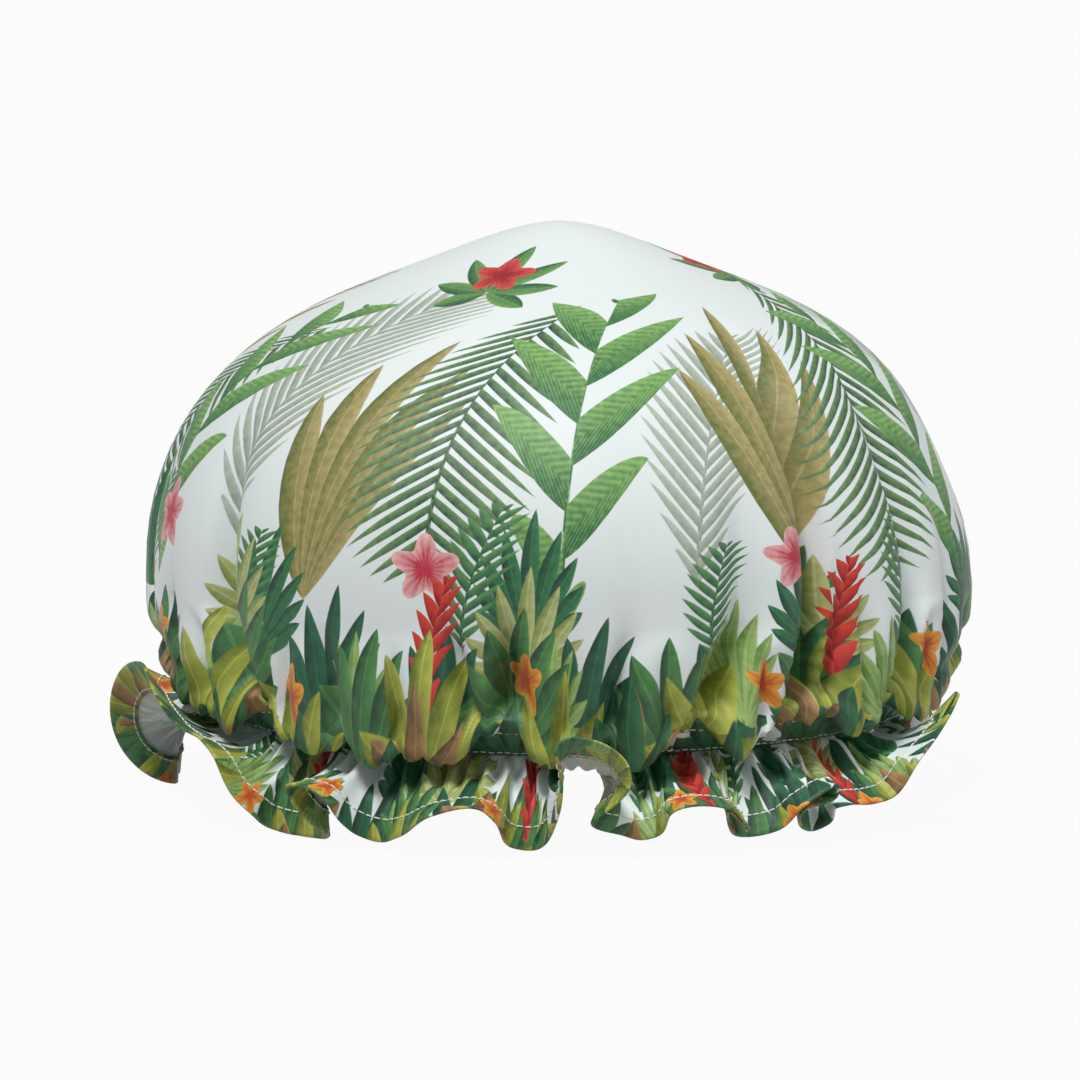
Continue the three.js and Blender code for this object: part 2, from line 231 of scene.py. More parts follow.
@dataclass(frozen=True, kw_only=True)
class Motif:
    """A printed shape that repeats round the cloth in equal cells. Lengths are millimetres on the cloth.

    Chance lifts each copy by up to the lift, grows it from the smallest size, and leans it within the sway.
    """

    count: int
    base: float
    dark: str
    light: str
    shift: float = 0.0
    seed: float = 0.0
    sway: float = 0.3
    lift: float = 12.0
    smallest: float = 0.85
    growth: float = 0.3
    softness: float = 0.35

    def draw(self, x: Field, y: Field) -> tuple[Field, Field]:
        """Draws the shape about its foot, as each kind of motif does."""
        raise NotImplementedError

    def paint(self, ground: PrintGround, under: Field) -> Field:
        """Prints the motif over what is under it.

        Args:
            ground: Places on the cloth.
            under: Colour that the motif covers.

        Returns:
            The colour with the motif on it.
        """
        tree = ground.along.tree
        turns = ground.along * (self.count / CROWN_GIRTH) + self.shift
        cell = turns.through(MATH, operation="FLOOR")
        cell = cell.through(MATH, {1: self.count}, operation="FLOORED_MODULO") + self.seed
        chance = add_node(tree, "ShaderNodeTexWhiteNoise", {"W": cell}, noise_dimensions="1D")
        split = add_node(tree, "ShaderNodeSeparateColor", {0: chance.outputs["Color"]})
        size, lean, lift = (Field(tree, split.outputs[i]) for i in range(3))
        y = (ground.up - self.base - lift * self.lift) / (size * self.growth + self.smallest)
        x = (turns.through(MATH, operation="FRACT") - 0.5) * (CROWN_GIRTH / self.count) * ground.girth
        inside, shade = self.draw(x - y * (lean - 0.5) * self.sway, y)
        inks = {6: srgb(self.dark), 7: srgb(self.light)}
        ink = (shade + ground.grain).through(MIX, inks, **COLOUR_MIX)
        return inside.edge(self.softness).through(MIX, {6: under, 7: ink}, **COLOUR_MIX)


@dataclass(frozen=True, kw_only=True)
class Frond(Motif):
    """A stem with leaflets up both of its sides."""

    height: float
    leaflet: float
    pitch: float
    fill: float = 0.38
    neck: float = 0.4
    rise: float = 0.9
    bend: float = 0.15
    stem: float = 0.9
    tip: float = 1.05
    taper: float = 0.6
    fullness: float = 2.1
    least_reach: float = 0.01
    shade_across: float = 0.9
    shade_out: float = 0.35
    shade_least: float = 0.25
    veins: float = 0.0
    vein_shade: float = 0.16

    def draw(self, x: Field, y: Field) -> tuple[Field, Field]:
        """Draws the leaflets and the stem between them.

        Args:
            x: Distance to the right of the foot.
            y: Distance above the foot.

        Returns:
            How far inside the shape a point lies, and how light its colour is there.
        """
        across = x - y * y * (self.bend / self.height)
        out = abs(across)
        root = y - out * self.rise
        share = root / self.height
        right = across.through(MATH, {1: 0.0}, operation="GREATER_THAN")
        side = (root / self.pitch + right * 0.5).through(MATH, operation="FRACT") - 0.5
        swelling = (share * (self.tip - share)).through(MATH, {1: 0.0}, operation="MAXIMUM") ** self.taper
        reach = swelling * (self.fullness * self.leaflet) + self.least_reach
        part = out / reach
        width = (1.0 - part) * (part + self.neck) * (4 * self.fill / (1 + self.neck) ** 2)
        leaf = (width - abs(side)) * self.pitch
        stem = (self.height - y) * (self.stem / self.height) - out
        stem = stem.through(MATH, {1: y}, operation="MINIMUM")
        shade = side * self.shade_across + part * self.shade_out + self.shade_least
        if self.veins:
            slant = (part * reach + abs(side) * self.pitch) * (math.tau / self.veins)
            shade = shade + slant.through(MATH, operation="SINE") * self.vein_shade
        return leaf.through(MATH, {1: stem}, operation="MAXIMUM"), shade


@dataclass(frozen=True, kw_only=True)
class Fan(Motif):
    """Lance leaves that spread from one foot."""

    length: float
    width: float
    spread: float
    pairs: int = 2
    droop: float = 0.13
    bend: float = 0.1
    taper: float = 0.8
    fullness: float = 3.0
    least_half: float = 0.2
    trim: float = 0.3
    rib: float = 0.3
    rib_shade: float = 0.3
    shade_across: float = 0.45
    shade_least: float = 0.4

    def draw(self, x: Field, y: Field) -> tuple[Field, Field]:
        """Draws the leaves, each in its own sector about the foot.

        Args:
            x: Distance to the right of the foot.
            y: Distance above the foot.

        Returns:
            How far inside the shape a point lies, and how light its colour is there.
        """
        across = x - y * y * (self.bend / self.length)
        turn = across.through(MATH, {1: y}, operation="ARCTAN2") / math.radians(self.spread)
        leaf = turn.through(MATH, operation="ROUND")
        for bound, operation in ((self.pairs, "MINIMUM"), (-self.pairs, "MAXIMUM")):
            leaf = leaf.through(MATH, {1: bound}, operation=operation)
        angle = (turn - leaf) * math.radians(self.spread)
        far = (across * across + y * y).through(MATH, operation="SQRT")
        side, ahead = (far * angle.through(MATH, operation=kind) for kind in ("SINE", "COSINE"))
        part = ahead / ((1.0 - abs(leaf) * self.droop) * self.length)
        swelling = (part * (1.0 - part)).through(MATH, {1: 0.0}, operation="MAXIMUM") ** self.taper
        half = swelling * (self.fullness * self.width)
        rib = abs(side).through(MATH, {1: self.rib}, operation="LESS_THAN")
        shade = side / (half + self.least_half) * self.shade_across + rib * self.rib_shade + self.shade_least
        return half - abs(side) - self.trim, shade


@dataclass(frozen=True, kw_only=True)
class Blossom(Motif):
    """A round flower of a few petals, dark in its heart."""

    radius: float
    petals: int = 5
    notch: float = 0.2
    rays: float = 4.0
    ray_shade: float = 0.12
    shade_out: float = 1.1
    heart: float = 0.3

    def draw(self, x: Field, y: Field) -> tuple[Field, Field]:
        """Draws the petals about the flower's middle.

        Args:
            x: Distance to the right of the foot.
            y: Distance above the foot.

        Returns:
            How far inside the shape a point lies, and how light its colour is there.
        """
        angle = x.through(MATH, {1: y}, operation="ARCTAN2") * float(self.petals)
        far = (x * x + y * y).through(MATH, operation="SQRT")
        lobes = angle.through(MATH, operation="COSINE")
        rim = lobes * (self.notch * self.radius) + (1 - self.notch) * self.radius
        rays = (angle * self.rays).through(MATH, operation="COSINE")
        return rim - far, far / rim * self.shade_out + rays * self.ray_shade - self.heart


# Printed leaves and flowers from the first printed to the last, in a half-drop repeat round the cap
MOTIFS: tuple[Motif, ...] = (
    Frond(count=5, base=62, shift=0.75, seed=1, height=108, leaflet=30, pitch=7.0, rise=1.3,
          dark="#93a18f", light="#ccd5c8", bend=0.2),
    Fan(count=5, base=54, shift=0.5, seed=2, length=124, width=7.0, spread=9,
        dark="#66702f", light="#c6b37b", bend=0.12),
    Frond(count=5, base=62, shift=0.25, seed=3, height=112, leaflet=36, pitch=5.2, fill=0.34, rise=-0.7,
          dark="#1c4631", light="#86ad70", bend=0.3),
    Frond(count=5, base=50, shift=0.0, seed=4, height=118, leaflet=33, pitch=29, fill=0.32, neck=0.5,
          rise=0.9, dark="#276b3b", light="#9ccb74", veins=2.4, bend=0.16),
    Fan(count=3, base=196, shift=0.2, seed=5, length=34, width=4.5, spread=40, pairs=3,
        dark="#1f5a3a", light="#7fb060"),
    Blossom(count=3, base=210, shift=0.2, seed=5, radius=12, dark="#9c1420", light="#e8564c"),
    Fan(count=9, base=38, shift=0.1, seed=6, length=46, width=3.6, spread=14, pairs=4,
        dark="#123a2a", light="#3f8a58"),
    Frond(count=11, base=34, shift=0.4, seed=14, height=44, leaflet=13, pitch=4.6, rise=0.8,
          dark="#1d5537", light="#6fa867", bend=0.25),
    Fan(count=8, base=34, shift=0.6, seed=7, length=42, width=3.4, spread=17, pairs=4,
        dark="#7c8a3c", light="#cfd696"),
    Blossom(count=7, base=72, shift=0.35, seed=8, radius=12.5, dark="#c22f45", light="#f8c6c4"),
    Fan(count=21, base=8, shift=0.85, seed=16, length=42, width=3.8, spread=19, pairs=3,
        dark="#0f3527", light="#2f7350"),
    Fan(count=14, base=16, shift=0.55, seed=17, length=30, width=2.6, spread=15, pairs=4,
        dark="#5f8a3a", light="#b5cf83"),
    Fan(count=17, base=12, shift=0.3, seed=9, length=36, width=4.2, spread=22, pairs=3,
        dark="#17432d", light="#5d9b54"),
    Frond(count=6, base=22, shift=0.8, seed=10, height=40, leaflet=8, pitch=6.5, fill=0.5, neck=0.9,
          rise=1.2, dark="#9f121c", light="#f0503c"),
    Fan(count=19, base=3, shift=0.0, seed=11, length=36, width=4.6, spread=27, pairs=2,
        dark="#66761f", light="#cbcf5c"),
    Fan(count=13, base=0, shift=0.7, seed=15, length=30, width=4.4, spread=38, pairs=1,
        dark="#5e4124", light="#c79c66"),
    Blossom(count=11, base=28, shift=0.15, seed=12, radius=6.5, dark="#c0481a", light="#fbb846"),
    Fan(count=23, base=-12, shift=0.45, seed=13, length=36, width=4.8, spread=24,
        dark="#0f3324", light="#3a7c4c"),
)


@dataclass(frozen=True)
class PrintedSatin:
    """Polyester satin, woven and then printed.

    It gives the eye a crisp print on a cool white ground, a soft sheen, fine diagonal lines of bump and
    painted shade, and a pale back that the print shows through.
    """

    name: str = "printed polyester satin"
    ground: str = "#ebf3f3"
    undergrowth: tuple[str, str] = ("#1b3a2b", "#4c7d4a")
    undergrowth_height: float = 5.0
    undergrowth_spread: float = 26.0
    undergrowth_patch: float = 7.0
    undergrowth_softness: float = 0.5
    undergrowth_tone: float = 0.4
    back: str = "#eef3f3"
    show_through: float = 0.36
    # The real weave's lines are too fine for the picture, so they are drawn coarser,
    # as a bump and as painted shade in the colour
    line_pitch: float = 0.9
    line_painted_shade_depth: float = 0.03
    line_painted_shade_colour: str = "#39473f"
    line_relief: float = 0.2
    line_bump: float = 0.12
    brush_size: float = 3.0
    brush_depth: float = 0.9
    roughness: float = 0.52
    sheen: float = 0.12
    sheen_roughness: float = 0.4

    def material(self) -> bpy.types.Material:
        """Makes the printed cloth, with the paler back wherever a piece says that it shows its reverse.

        Returns:
            The material.
        """
        made = bpy.data.materials.new(self.name)
        made.use_nodes = True
        tree = made.node_tree
        uv = add_node(tree, "ShaderNodeUVMap", uv_map=PRINT_MAP)
        place = add_node(tree, "ShaderNodeSeparateXYZ", {0: uv.outputs[0]})
        along, up = (Field(tree, place.outputs[i]) for i in range(2))
        girth, reverse = (
            Field(tree, add_node(tree, "ShaderNodeAttribute", attribute_name=name).outputs["Fac"])
            for name in (GIRTH_NAME, REVERSE_NAME)
        )
        strokes = {"Vector": uv.outputs[0], "Scale": 1 / self.brush_size, "Detail": 3.0}
        brush = add_node(tree, "ShaderNodeTexNoise", strokes)
        grain = (Field(tree, brush.outputs[0]) - 0.5) * self.brush_depth
        ground = PrintGround(along, up, girth, grain)
        colour = self.undergrown(ground, uv.outputs[0])
        for motif in MOTIFS:
            colour = motif.paint(ground, colour)
        lines = ((along + up) * (math.tau / self.line_pitch)).through(MATH, operation="SINE")
        # Painted shade along the weave's lines stands in for how light falls on the satin's floats, and the
        # pale back then covers the reverse
        for share, over in (
            (lines * self.line_painted_shade_depth + self.line_painted_shade_depth, self.line_painted_shade_colour),
            (reverse * (1 - self.show_through), self.back),
        ):
            colour = share.through(MIX, {6: colour, 7: srgb(over)}, **COLOUR_MIX)
        weave = {"Strength": self.line_bump, "Distance": self.line_relief * MM, "Height": lines}
        plug(tree, tree.nodes["Principled BSDF"], {
            "Base Color": colour,
            "Normal": add_node(tree, "ShaderNodeBump", weave).outputs[0],
            "Roughness": self.roughness,
            "Sheen Weight": self.sheen,
            "Sheen Roughness": self.sheen_roughness,
        })
        return made

    def undergrown(self, ground: PrintGround, place: bpy.types.NodeSocket) -> Field:
        """Prints the dark undergrowth that thins out up from the rim.

        Args:
            ground: Places on the cloth.
            place: Coordinates on the cloth.

        Returns:
            The colour.
        """
        tree = ground.along.tree
        spots = {"Vector": place, "Scale": 1 / self.undergrowth_patch, "Detail": 2.0}
        patches = add_node(tree, "ShaderNodeTexNoise", spots)
        top = (Field(tree, patches.outputs[0]) - 0.5) * self.undergrowth_spread + self.undergrowth_height
        dark, light = (srgb(code) for code in self.undergrowth)
        tone = ground.grain + self.undergrowth_tone
        leaves = tone.through(MIX, {6: dark, 7: light}, **COLOUR_MIX)
        inside = (top - ground.up).edge(self.undergrowth_softness)
        return inside.through(MIX, {6: srgb(self.ground), 7: leaves}, **COLOUR_MIX)


@dataclass(frozen=True)
class PlainFinish:
    """A finish of one colour with fine marks, whose size and relief are millimetres."""

    name: str
    light: str
    dark: str
    mark: float
    roughness: float
    relief: float
    sheen: float = 0.0
    bump: float = 0.4

    def material(self) -> bpy.types.Material:
        """Makes the material.

        Returns:
            The material.
        """
        made = bpy.data.materials.new(self.name)
        made.use_nodes = True
        tree = made.node_tree
        place = add_node(tree, "ShaderNodeTexCoord").outputs["Object"]
        grains = {"Vector": place, "Scale": 1 / (self.mark * MM), "Detail": 4.0, "Roughness": 0.6}
        tone = Field(tree, add_node(tree, "ShaderNodeTexNoise", grains).outputs[0])
        shades = {6: srgb(self.dark), 7: srgb(self.light)}
        raised = {"Strength": self.bump, "Distance": self.relief * MM, "Height": tone}
        plug(tree, tree.nodes["Principled BSDF"], {
            "Base Color": tone.through(MIX, shades, **COLOUR_MIX),
            "Normal": add_node(tree, "ShaderNodeBump", raised).outputs[0],
            "Roughness": self.roughness,
            "Sheen Weight": self.sheen,
        })
        return made


# Reverse of the satin inside the crown: a dull, unprinted white
SATIN_BACK = PlainFinish("satin reverse", "#e8eded", "#d9e0e0", 1.2, 0.7, 0.05)
# Soft vinyl film: milky, with a low gloss and small crinkles
LINING_FILM = PlainFinish("waterproof vinyl film", "#e3e8e9", "#cfd6d8", 9.0, 0.36, 0.35)
# Woven polyester tape: matt and white, with a fine grain
CASING_TAPE = PlainFinish("woven polyester tape", "#f0f2f0", "#dfe3e1", 0.8, 0.75, 0.1, 0.1)
# Braided elastic: matt, with a chalky rib
ELASTIC_BRAID = PlainFinish("braided elastic", "#f7f7f3", "#e3e3dd", 0.7, 0.8, 0.12)
# Spun polyester thread: white, with a slight twist
SPUN_THREAD = PlainFinish("spun polyester thread", "#fbfbf8", "#e6e6e0", 0.35, 0.6, 0.05, 0.2)


def unit(vectors: Grid) -> Grid:
    """Brings vectors to a length of 1."""
    return vectors / np.maximum(np.linalg.norm(vectors, axis=-1, keepdims=True), 1e-9)


def lengths(path: Grid) -> Grid:
    """Distances along a path from its first point."""
    return np.concatenate([[0], np.cumsum(np.linalg.norm(np.diff(path, axis=0), axis=1))])


def around(azimuth: Grid, radius: Grid | float, level: Grid | float) -> Grid:
    """Points round the cap's axis, by their azimuths in radians, distances from the axis and heights."""
    return np.stack([radius * np.sin(azimuth), -radius * np.cos(azimuth), level + 0 * azimuth], -1)


def ripples(place: Grid, *waves: tuple[float, float, float], level: float = 0.0) -> Grid:
    """Adds waves, each with its height, count and start, to a level."""
    return sum((height * np.sin(count * place + start) for height, count, start in waves), level)


def swell(value: Grid, size: float, middle: float, reach: float) -> Grid:
    """Rises to its size at the middle and falls away to both sides of it."""
    return size * np.exp(-(((value - middle) / reach) ** 2))


def between(value: Grid, grows: Span, ends: Span) -> Grid:
    """Rises smoothly from 0 to 1 over one span and falls back over another."""
    return smoothstep(value, *grows) * (1 - smoothstep(value, *ends))


def mesh_piece(
    name: str,
    points: Grid,
    faces: list[list[int]],
    materials: Sequence[bpy.types.Material],
    smooth: bool = True,
) -> bpy.types.Object:
    """Makes an object of points and faces.

    Args:
        name: Name of the piece.
        points: Points in millimetres.
        faces: Numbers of each face's points.
        materials: Materials of the piece.
        smooth: Whether its faces are shaded as one smooth surface.

    Returns:
        The object.
    """
    mesh = bpy.data.meshes.new(name)
    mesh.from_pydata((points.reshape(-1, 3) * MM).tolist(), [], faces)
    mesh.polygons.foreach_set("use_smooth", np.full(len(mesh.polygons), smooth))
    for material in materials:
        mesh.materials.append(material)
    made = bpy.data.objects.new(name, mesh)
    bpy.context.scene.collection.objects.link(made)
    return made


def apply_modifiers(piece: bpy.types.Object) -> None:
    """Applies every modifier of a piece.

    Args:
        piece: Object whose modifiers become part of its mesh.
    """
    bpy.ops.object.select_all(action="DESELECT")
    piece.select_set(True)
    bpy.context.view_layer.objects.active = piece
    for modifier in list(piece.modifiers):
        bpy.ops.object.modifier_apply(modifier=modifier.name)


def settle(piece: bpy.types.Object, body: Body, slot: Slot, *nodes: str) -> None:
    """Lets a piece ride on a body and stand for the solids that it replaces.

    Args:
        piece: The finished piece.
        body: Body that it moves with.
        slot: Record's material slot; not used.
        nodes: Solids that it replaces.
    """
    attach(piece, body.value)
    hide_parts(*nodes)
    LOG.info("%s: %d faces, in place of %s", piece.name, len(piece.data.polygons), ", ".join(nodes))


@dataclass(frozen=True)
class Sheet:
    """A sheet of cloth as a grid of points that closes on itself round the cap.

    Rows run down the cloth and columns round it. A sheet whose rows close has its section's own thickness.
    """

    points: Grid
    along: Grid
    up: Grid
    girth: Grid
    reverse: Grid
    closed_rows: bool = False
    pole: bool = False

    def build(
        self, name: str, thickness: float, materials: Sequence[bpy.types.Material], offset: float = -1.0
    ) -> bpy.types.Object:
        """Makes the sheet's object.

        Args:
            name: Name of the piece.
            thickness: Thickness that the sheet gets, or 0 where its section has one already.
            materials: Material of the face, and of the back where it has its own.
            offset: Side that the thickness goes to: -1 inwards, 1 outwards.

        Returns:
            The object, with its modifiers applied.
        """
        rows, columns, _ = self.points.shape
        r, c = (grid.ravel() for grid in np.indices((rows if self.closed_rows else rows - 1, columns)))
        below = (r + 1) % rows
        corners = [(r, c), (below, c), (below, c + 1), (r, c + 1)]
        faces = np.stack([i * columns + j % columns for i, j in corners], 1).tolist()
        place = np.stack([self.along, self.up], -1)
        maps = np.stack([place[corner] for corner in corners], 1).reshape(-1, 2)
        points, girth, reverse = self.points.reshape(-1, 3), self.girth.ravel(), self.reverse.ravel()
        if self.pole:
            faces += [[len(points), j, (j + 1) % columns] for j in range(columns)]
            fan = [[j, j, j + 1] for j in range(columns)]
            maps = np.concatenate([maps, place[0, fan].reshape(-1, 2)])
            points = np.concatenate([points, self.points[0].mean(0)[None]])
            girth, reverse = np.append(girth, girth[0]), np.append(reverse, 0.0)
        made = mesh_piece(name, points, faces, materials)
        made.data.uv_layers.new(name=PRINT_MAP).data.foreach_set("uv", maps.astype(np.float32).ravel())
        for label, values in ((GIRTH_NAME, girth), (REVERSE_NAME, reverse)):
            layer = made.data.attributes.new(label, "FLOAT", "POINT")
            layer.data.foreach_set("value", values.astype(np.float32))
        if thickness:
            wall = made.modifiers.new("thickness", "SOLIDIFY")
            wall.thickness = thickness * MM
            wall.offset = offset
            wall.material_offset = len(materials) - 1
            apply_modifiers(made)
        return made


@dataclass(frozen=True)
class Meridian:
    """The crown's outline from its top to the seam.

    Places on it run from 0 at the top, through 1 at the fullest part and 2 at the casing's top, to 3.
    """

    crown_width: float = CROWN_WIDTH
    crown_rise: float = 173.0
    fullest_rise: float = 46.0
    peak_exponent: float = 1.5
    shoulder_exponent: float = 2.2
    underturn: float = 0.45
    opening_width: float = 260.0
    casing_lean: float = 45.0
    casing_depth: float = 14.6
    cloth: float = 0.5
    least_radius: float = 1.0
    slope_step: float = 0.004
    samples: int = 3001

    @property
    def seam_level(self) -> float:
        """Height of the gathering seam above the table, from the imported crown."""
        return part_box("outer_crown")[1].z / MM - self.crown_rise - self.cloth / 2

    def flat(self, v: Grid) -> tuple[Grid, Grid]:
        """Radius and rise above the seam at places on the meridian.

        Args:
            v: Places, from 0 to 3.

        Returns:
            Radii and rises.
        """
        v = np.asarray(v, float)
        polar = np.clip(v, 0, 1) * math.pi / 2
        dome = self.crown_width / 2 * np.sin(polar) ** (2 / self.peak_exponent)
        shoulder = np.clip(np.cos(polar), 0, 1) ** (2 / self.shoulder_exponent)
        dome_rise = self.fullest_rise + (self.crown_rise - self.fullest_rise) * shoulder
        lean = math.radians(self.casing_lean)
        seam_radius = self.opening_width / 2
        top = (seam_radius + self.casing_depth * math.sin(lean), self.casing_depth * math.cos(lean))
        handle = self.underturn * (self.fullest_rise - top[1])
        turn = (
            (self.crown_width / 2, self.fullest_rise),
            (self.crown_width / 2, self.fullest_rise - handle),
            (top[0] + handle * math.sin(lean), top[1] + handle * math.cos(lean)),
            top,
        )
        t = np.clip(v - 1, 0, 1)
        weights = ((1 - t) ** 3, 3 * t * (1 - t) ** 2, 3 * t * t * (1 - t), t**3)
        curve = [sum(w * p[k] for w, p in zip(weights, turn)) for k in range(2)]
        casing = np.clip(v - 2, 0, 1)
        cone = (top[0] + (seam_radius - top[0]) * casing, top[1] * (1 - casing))
        radius = np.where(v < 1, dome, np.where(v < 2, curve[0], cone[0]))
        rise = np.where(v < 1, dome_rise, np.where(v < 2, curve[1], cone[1]))
        return radius, rise

    def square(self, v: Grid) -> tuple[Grid, Grid]:
        """Finds the way out of the cap, square to the meridian.

        Args:
            v: Places on the meridian.

        Returns:
            Radial and upward shares of the direction.
        """
        r0, z0 = self.flat(np.clip(v - self.slope_step, 0, 3))
        r1, z1 = self.flat(np.clip(v + self.slope_step, 0, 3))
        out, up = z0 - z1, r1 - r0
        length = np.hypot(out, up)
        return out / length, up / length

    def surface(
        self, azimuth: Grid, v: Grid, height: Grid, shift: Grid | float = 0.0, inset: Grid | float = 0.0
    ) -> Grid:
        """Points off the crown's middle surface.

        Args:
            azimuth: Azimuths in radians.
            v: Places on the meridian.
            height: Distances outwards from the surface.
            shift: Distances round the cap, to the right as seen from outside.
            inset: Distances level towards the cap's axis.

        Returns:
            Points in millimetres, on the last axis.
        """
        radius, rise = self.flat(v)
        out, up = self.square(v)
        radius = radius + out * height - inset
        turned = azimuth + shift / np.maximum(radius, self.least_radius)
        return around(turned, radius, self.seam_level + rise + up * height)

    def climb(self, v: Grid) -> Grid:
        """Distances up the cloth from the seam.

        Args:
            v: Places on the meridian.

        Returns:
            The distances.
        """
        fine = np.linspace(0, 3, self.samples)
        length = lengths(np.stack(self.flat(fine), -1))
        return length[-1] - np.interp(v, fine, length)


@dataclass(frozen=True)
class HemTurn:
    """A place on the hem: azimuth of the seam above it, flare from straight down, and swing to its right."""

    azimuth: float
    flare: float
    swing: float


# The hem's turns from the left flute round the front, which the photograph shows, and then those guessed
HEM_TURNS: tuple[HemTurn, ...] = tuple(
    HemTurn(*numbers)
    for numbers in (
        (-99, 24, 0), (-93, 19, 14), (-88, 19, 16), (-85.5, 30, 14), (-83, 54, 7), (-80.5, 84, 3),
        (-78, 104, -2), (-75, 116, -8), (-71.5, 123, -10), (-67.5, 125, -5), (-64, 117, 1.5),
        (-53.5, 97, 1), (-51, 93.5, 7.5), (-48.5, 85.5, 7.5), (-45, 58, 0.5), (-43.5, 45.5, -0.5),
        (-42.5, 29.5, -3.5), (-40.5, 20.5, -1.5), (-39, 20, 5), (-37.5, 19.5, 6.5), (-36, 29, 12),
        (-34.5, 45.5, 2), (-34, 64.5, -6.5), (-33.5, 70.5, -10), (-30.5, 70.5, 1), (-28, 48, -1.5),
        (-26, 37.5, -5.5), (-24, 30.5, -6), (-21.5, 39.5, -1), (-16.5, 61.5, 2), (-10, 66, 4),
        (-8.5, 58.5, 3), (-5.5, 32.5, -2.5), (-4.5, 29.5, 0), (-1.5, 59.5, 3.5), (0, 92.5, -1.5),
        (0.5, 102.5, -6.5), (1.5, 109, -6), (3, 109.5, 0), (5.5, 92.5, 12.5), (6, 84, 11.5),
        (7, 54, -13.5), (8.5, 48, -4), (10, 42.5, 2.5), (11.5, 45.5, 3), (14, 63, -4), (20.5, 62, 6.5),
        (22, 43, 12.5), (23, 60, -9.5), (24.5, 40.5, -6), (28.5, 43, 2.5), (31, 61.5, 0.5),
        (33, 70.5, 15.5), (33.5, 64.5, 13.5), (34, 55.5, -10.5), (34.5, 47.5, -11.5), (35.5, 37, 1.5),
        (37, 43, 0), (38, 56, -7.5), (40, 58, -7), (43, 56, 1), (46, 58, 1), (48.7, 78, 0),
        (53.6, 96, 0), (57, 106, 0), (59.6, 113, -1), (60.7, 108, -16), (61.6, 80, -38), (62.6, 48, -45),
        (63.7, 8, -40), (65.2, -26, -25), (68, -38, -8), (72, -38, 10), (75.5, -27, -8), (79, -17, -14),
        (83, -14, 12), (87, -16, 13), (91, -12, -12), (95, -15, -10), (99, -12, 10), (103, -8, 15),
        (107, 6, -18), (111, 21, -8), (114.5, 28, 4), (118, 20, -6), (124, 66, -8), (129, 82, 4),
        (135, 40, 8), (141, 18, 0), (148, 62, -9), (153, 100, 0), (159, 66, 9), (164, 20, 4),
        (170, 26, -5), (176, 74, -3), (182, 50, 7), (187, 20, 2), (193, 34, -8), (199, 88, -4),
        (205, 80, 7), (210, 30, 6), (217, 20, -5), (223, 58, -8), (229, 80, 2), (235, 36, 7),
        (241, 18, 0), (247, 48, -8), (252, 92, -2), (257, 60, 8),
    )
)


@dataclass(frozen=True)
class Fold:
    """A fold that the gathering draws into the crown: a soft dip, with a narrow slot along its middle.

    The ridge on its left leans over it where its lean is above 0, and the ridge on its right where below.
    Its slant is the turn of its valley to the right, in degrees down one length of the meridian. It has its
    stated azimuth at the datum. The slot is the narrow slot's share of the section.
    """

    azimuth: float
    depth: float
    half_width: float
    start: float
    lean: float = 0.0
    slant: float = 0.0
    run: float = 0.55
    slot: float = 0.6
    datum: float = 1.6
    dip_round: float = 0.05
    dip_power: float = 1.5
    slot_round: float = 0.1

    def away(self, azimuth: Grid, v: Grid) -> Grid:
        """Distance to the right of the fold's bottom, in its half widths."""
        turn = azimuth - np.radians(self.azimuth + self.slant * (v - self.datum))
        return np.arctan2(np.sin(turn), np.cos(turn)) / math.radians(self.half_width)

    def valley(self, away: Grid) -> Grid:
        """Works out the fold's section.

        Args:
            away: Distances to the right of its bottom, in its half widths.

        Returns:
            Depths, from 0 to 1.
        """
        dip = np.clip(1 + self.dip_round - np.hypot(away, self.dip_round), 0, 1) ** self.dip_power
        slot = np.clip(1 + self.slot_round - np.hypot(2 * away, self.slot_round), 0, 1)
        return dip + self.slot * (slot - dip)

    def grown(self, v: Grid) -> Grid:
        """How far the fold has opened at places on the meridian, from 0 to 1."""
        return smoothstep(v, self.start, self.start + self.run)


# Folds that the photograph shows, from left to right, and then those guessed round the back
LARGE_FOLDS: tuple[Fold, ...] = tuple(
    Fold(*numbers)
    for numbers in (
        (-76, 9, 6, 0.6, -3, 8), (-64, 8, 5, 0.8, -2, 4), (-56.5, 6, 4.5, 0.95, 2, 4),
        (-48, 18, 8, 0.6, -2, 8), (-42.5, 7, 4, 1.1, 2), (-31, 7, 4.5, 1.0, -1.5, 3),
        (-22, 6, 4, 1.1, 2), (-12, 9, 4.5, 0.8, -2, 4), (-7, 14, 5.5, 0.85, 1.5), (0.5, 6, 4, 1.1, -2),
        (7, 8, 5, 0.9, -2, -3), (13.5, 6, 4.5, 1.1, 2), (20.5, 17, 8, 0.7, 2, -7),
        (27.5, 5, 4, 1.0, 2, -4), (34, 24, 7.5, 0.4, 2.5, -6), (40, 12, 6.5, 0.65, -1, -4),
        (45.5, 7, 4, 0.7, 2), (53.5, 18, 7.5, 0.55, 2, -6), (59.5, 6, 4.5, 0.9, -2, -4),
        (64.5, 8, 5.5, 0.75, 3, -5), (76, 7, 5.5, 1.0, 2), (88, 9, 6, 0.9, -3, 4),
        (101, 13, 8, 0.7, 4, -5), (117, 8, 5.5, 1.0, -3, 4), (131, 13, 8, 0.6, 5, 6),
        (146, 8, 5.5, 1.0, 2), (162, 14, 7.5, 0.75, -4, -6), (178, 8, 5.5, 1.0, 2, 4),
        (194, 15, 8, 0.6, 5, -6), (211, 8, 5.5, 1.0, -2), (226, 14, 7.5, 0.8, -4, 5),
        (241, 8, 5.5, 1.0, 2), (258, 12, 7.5, 0.75, 4, -5), (270, 7, 5.5, 1.0, -2),
    )
)


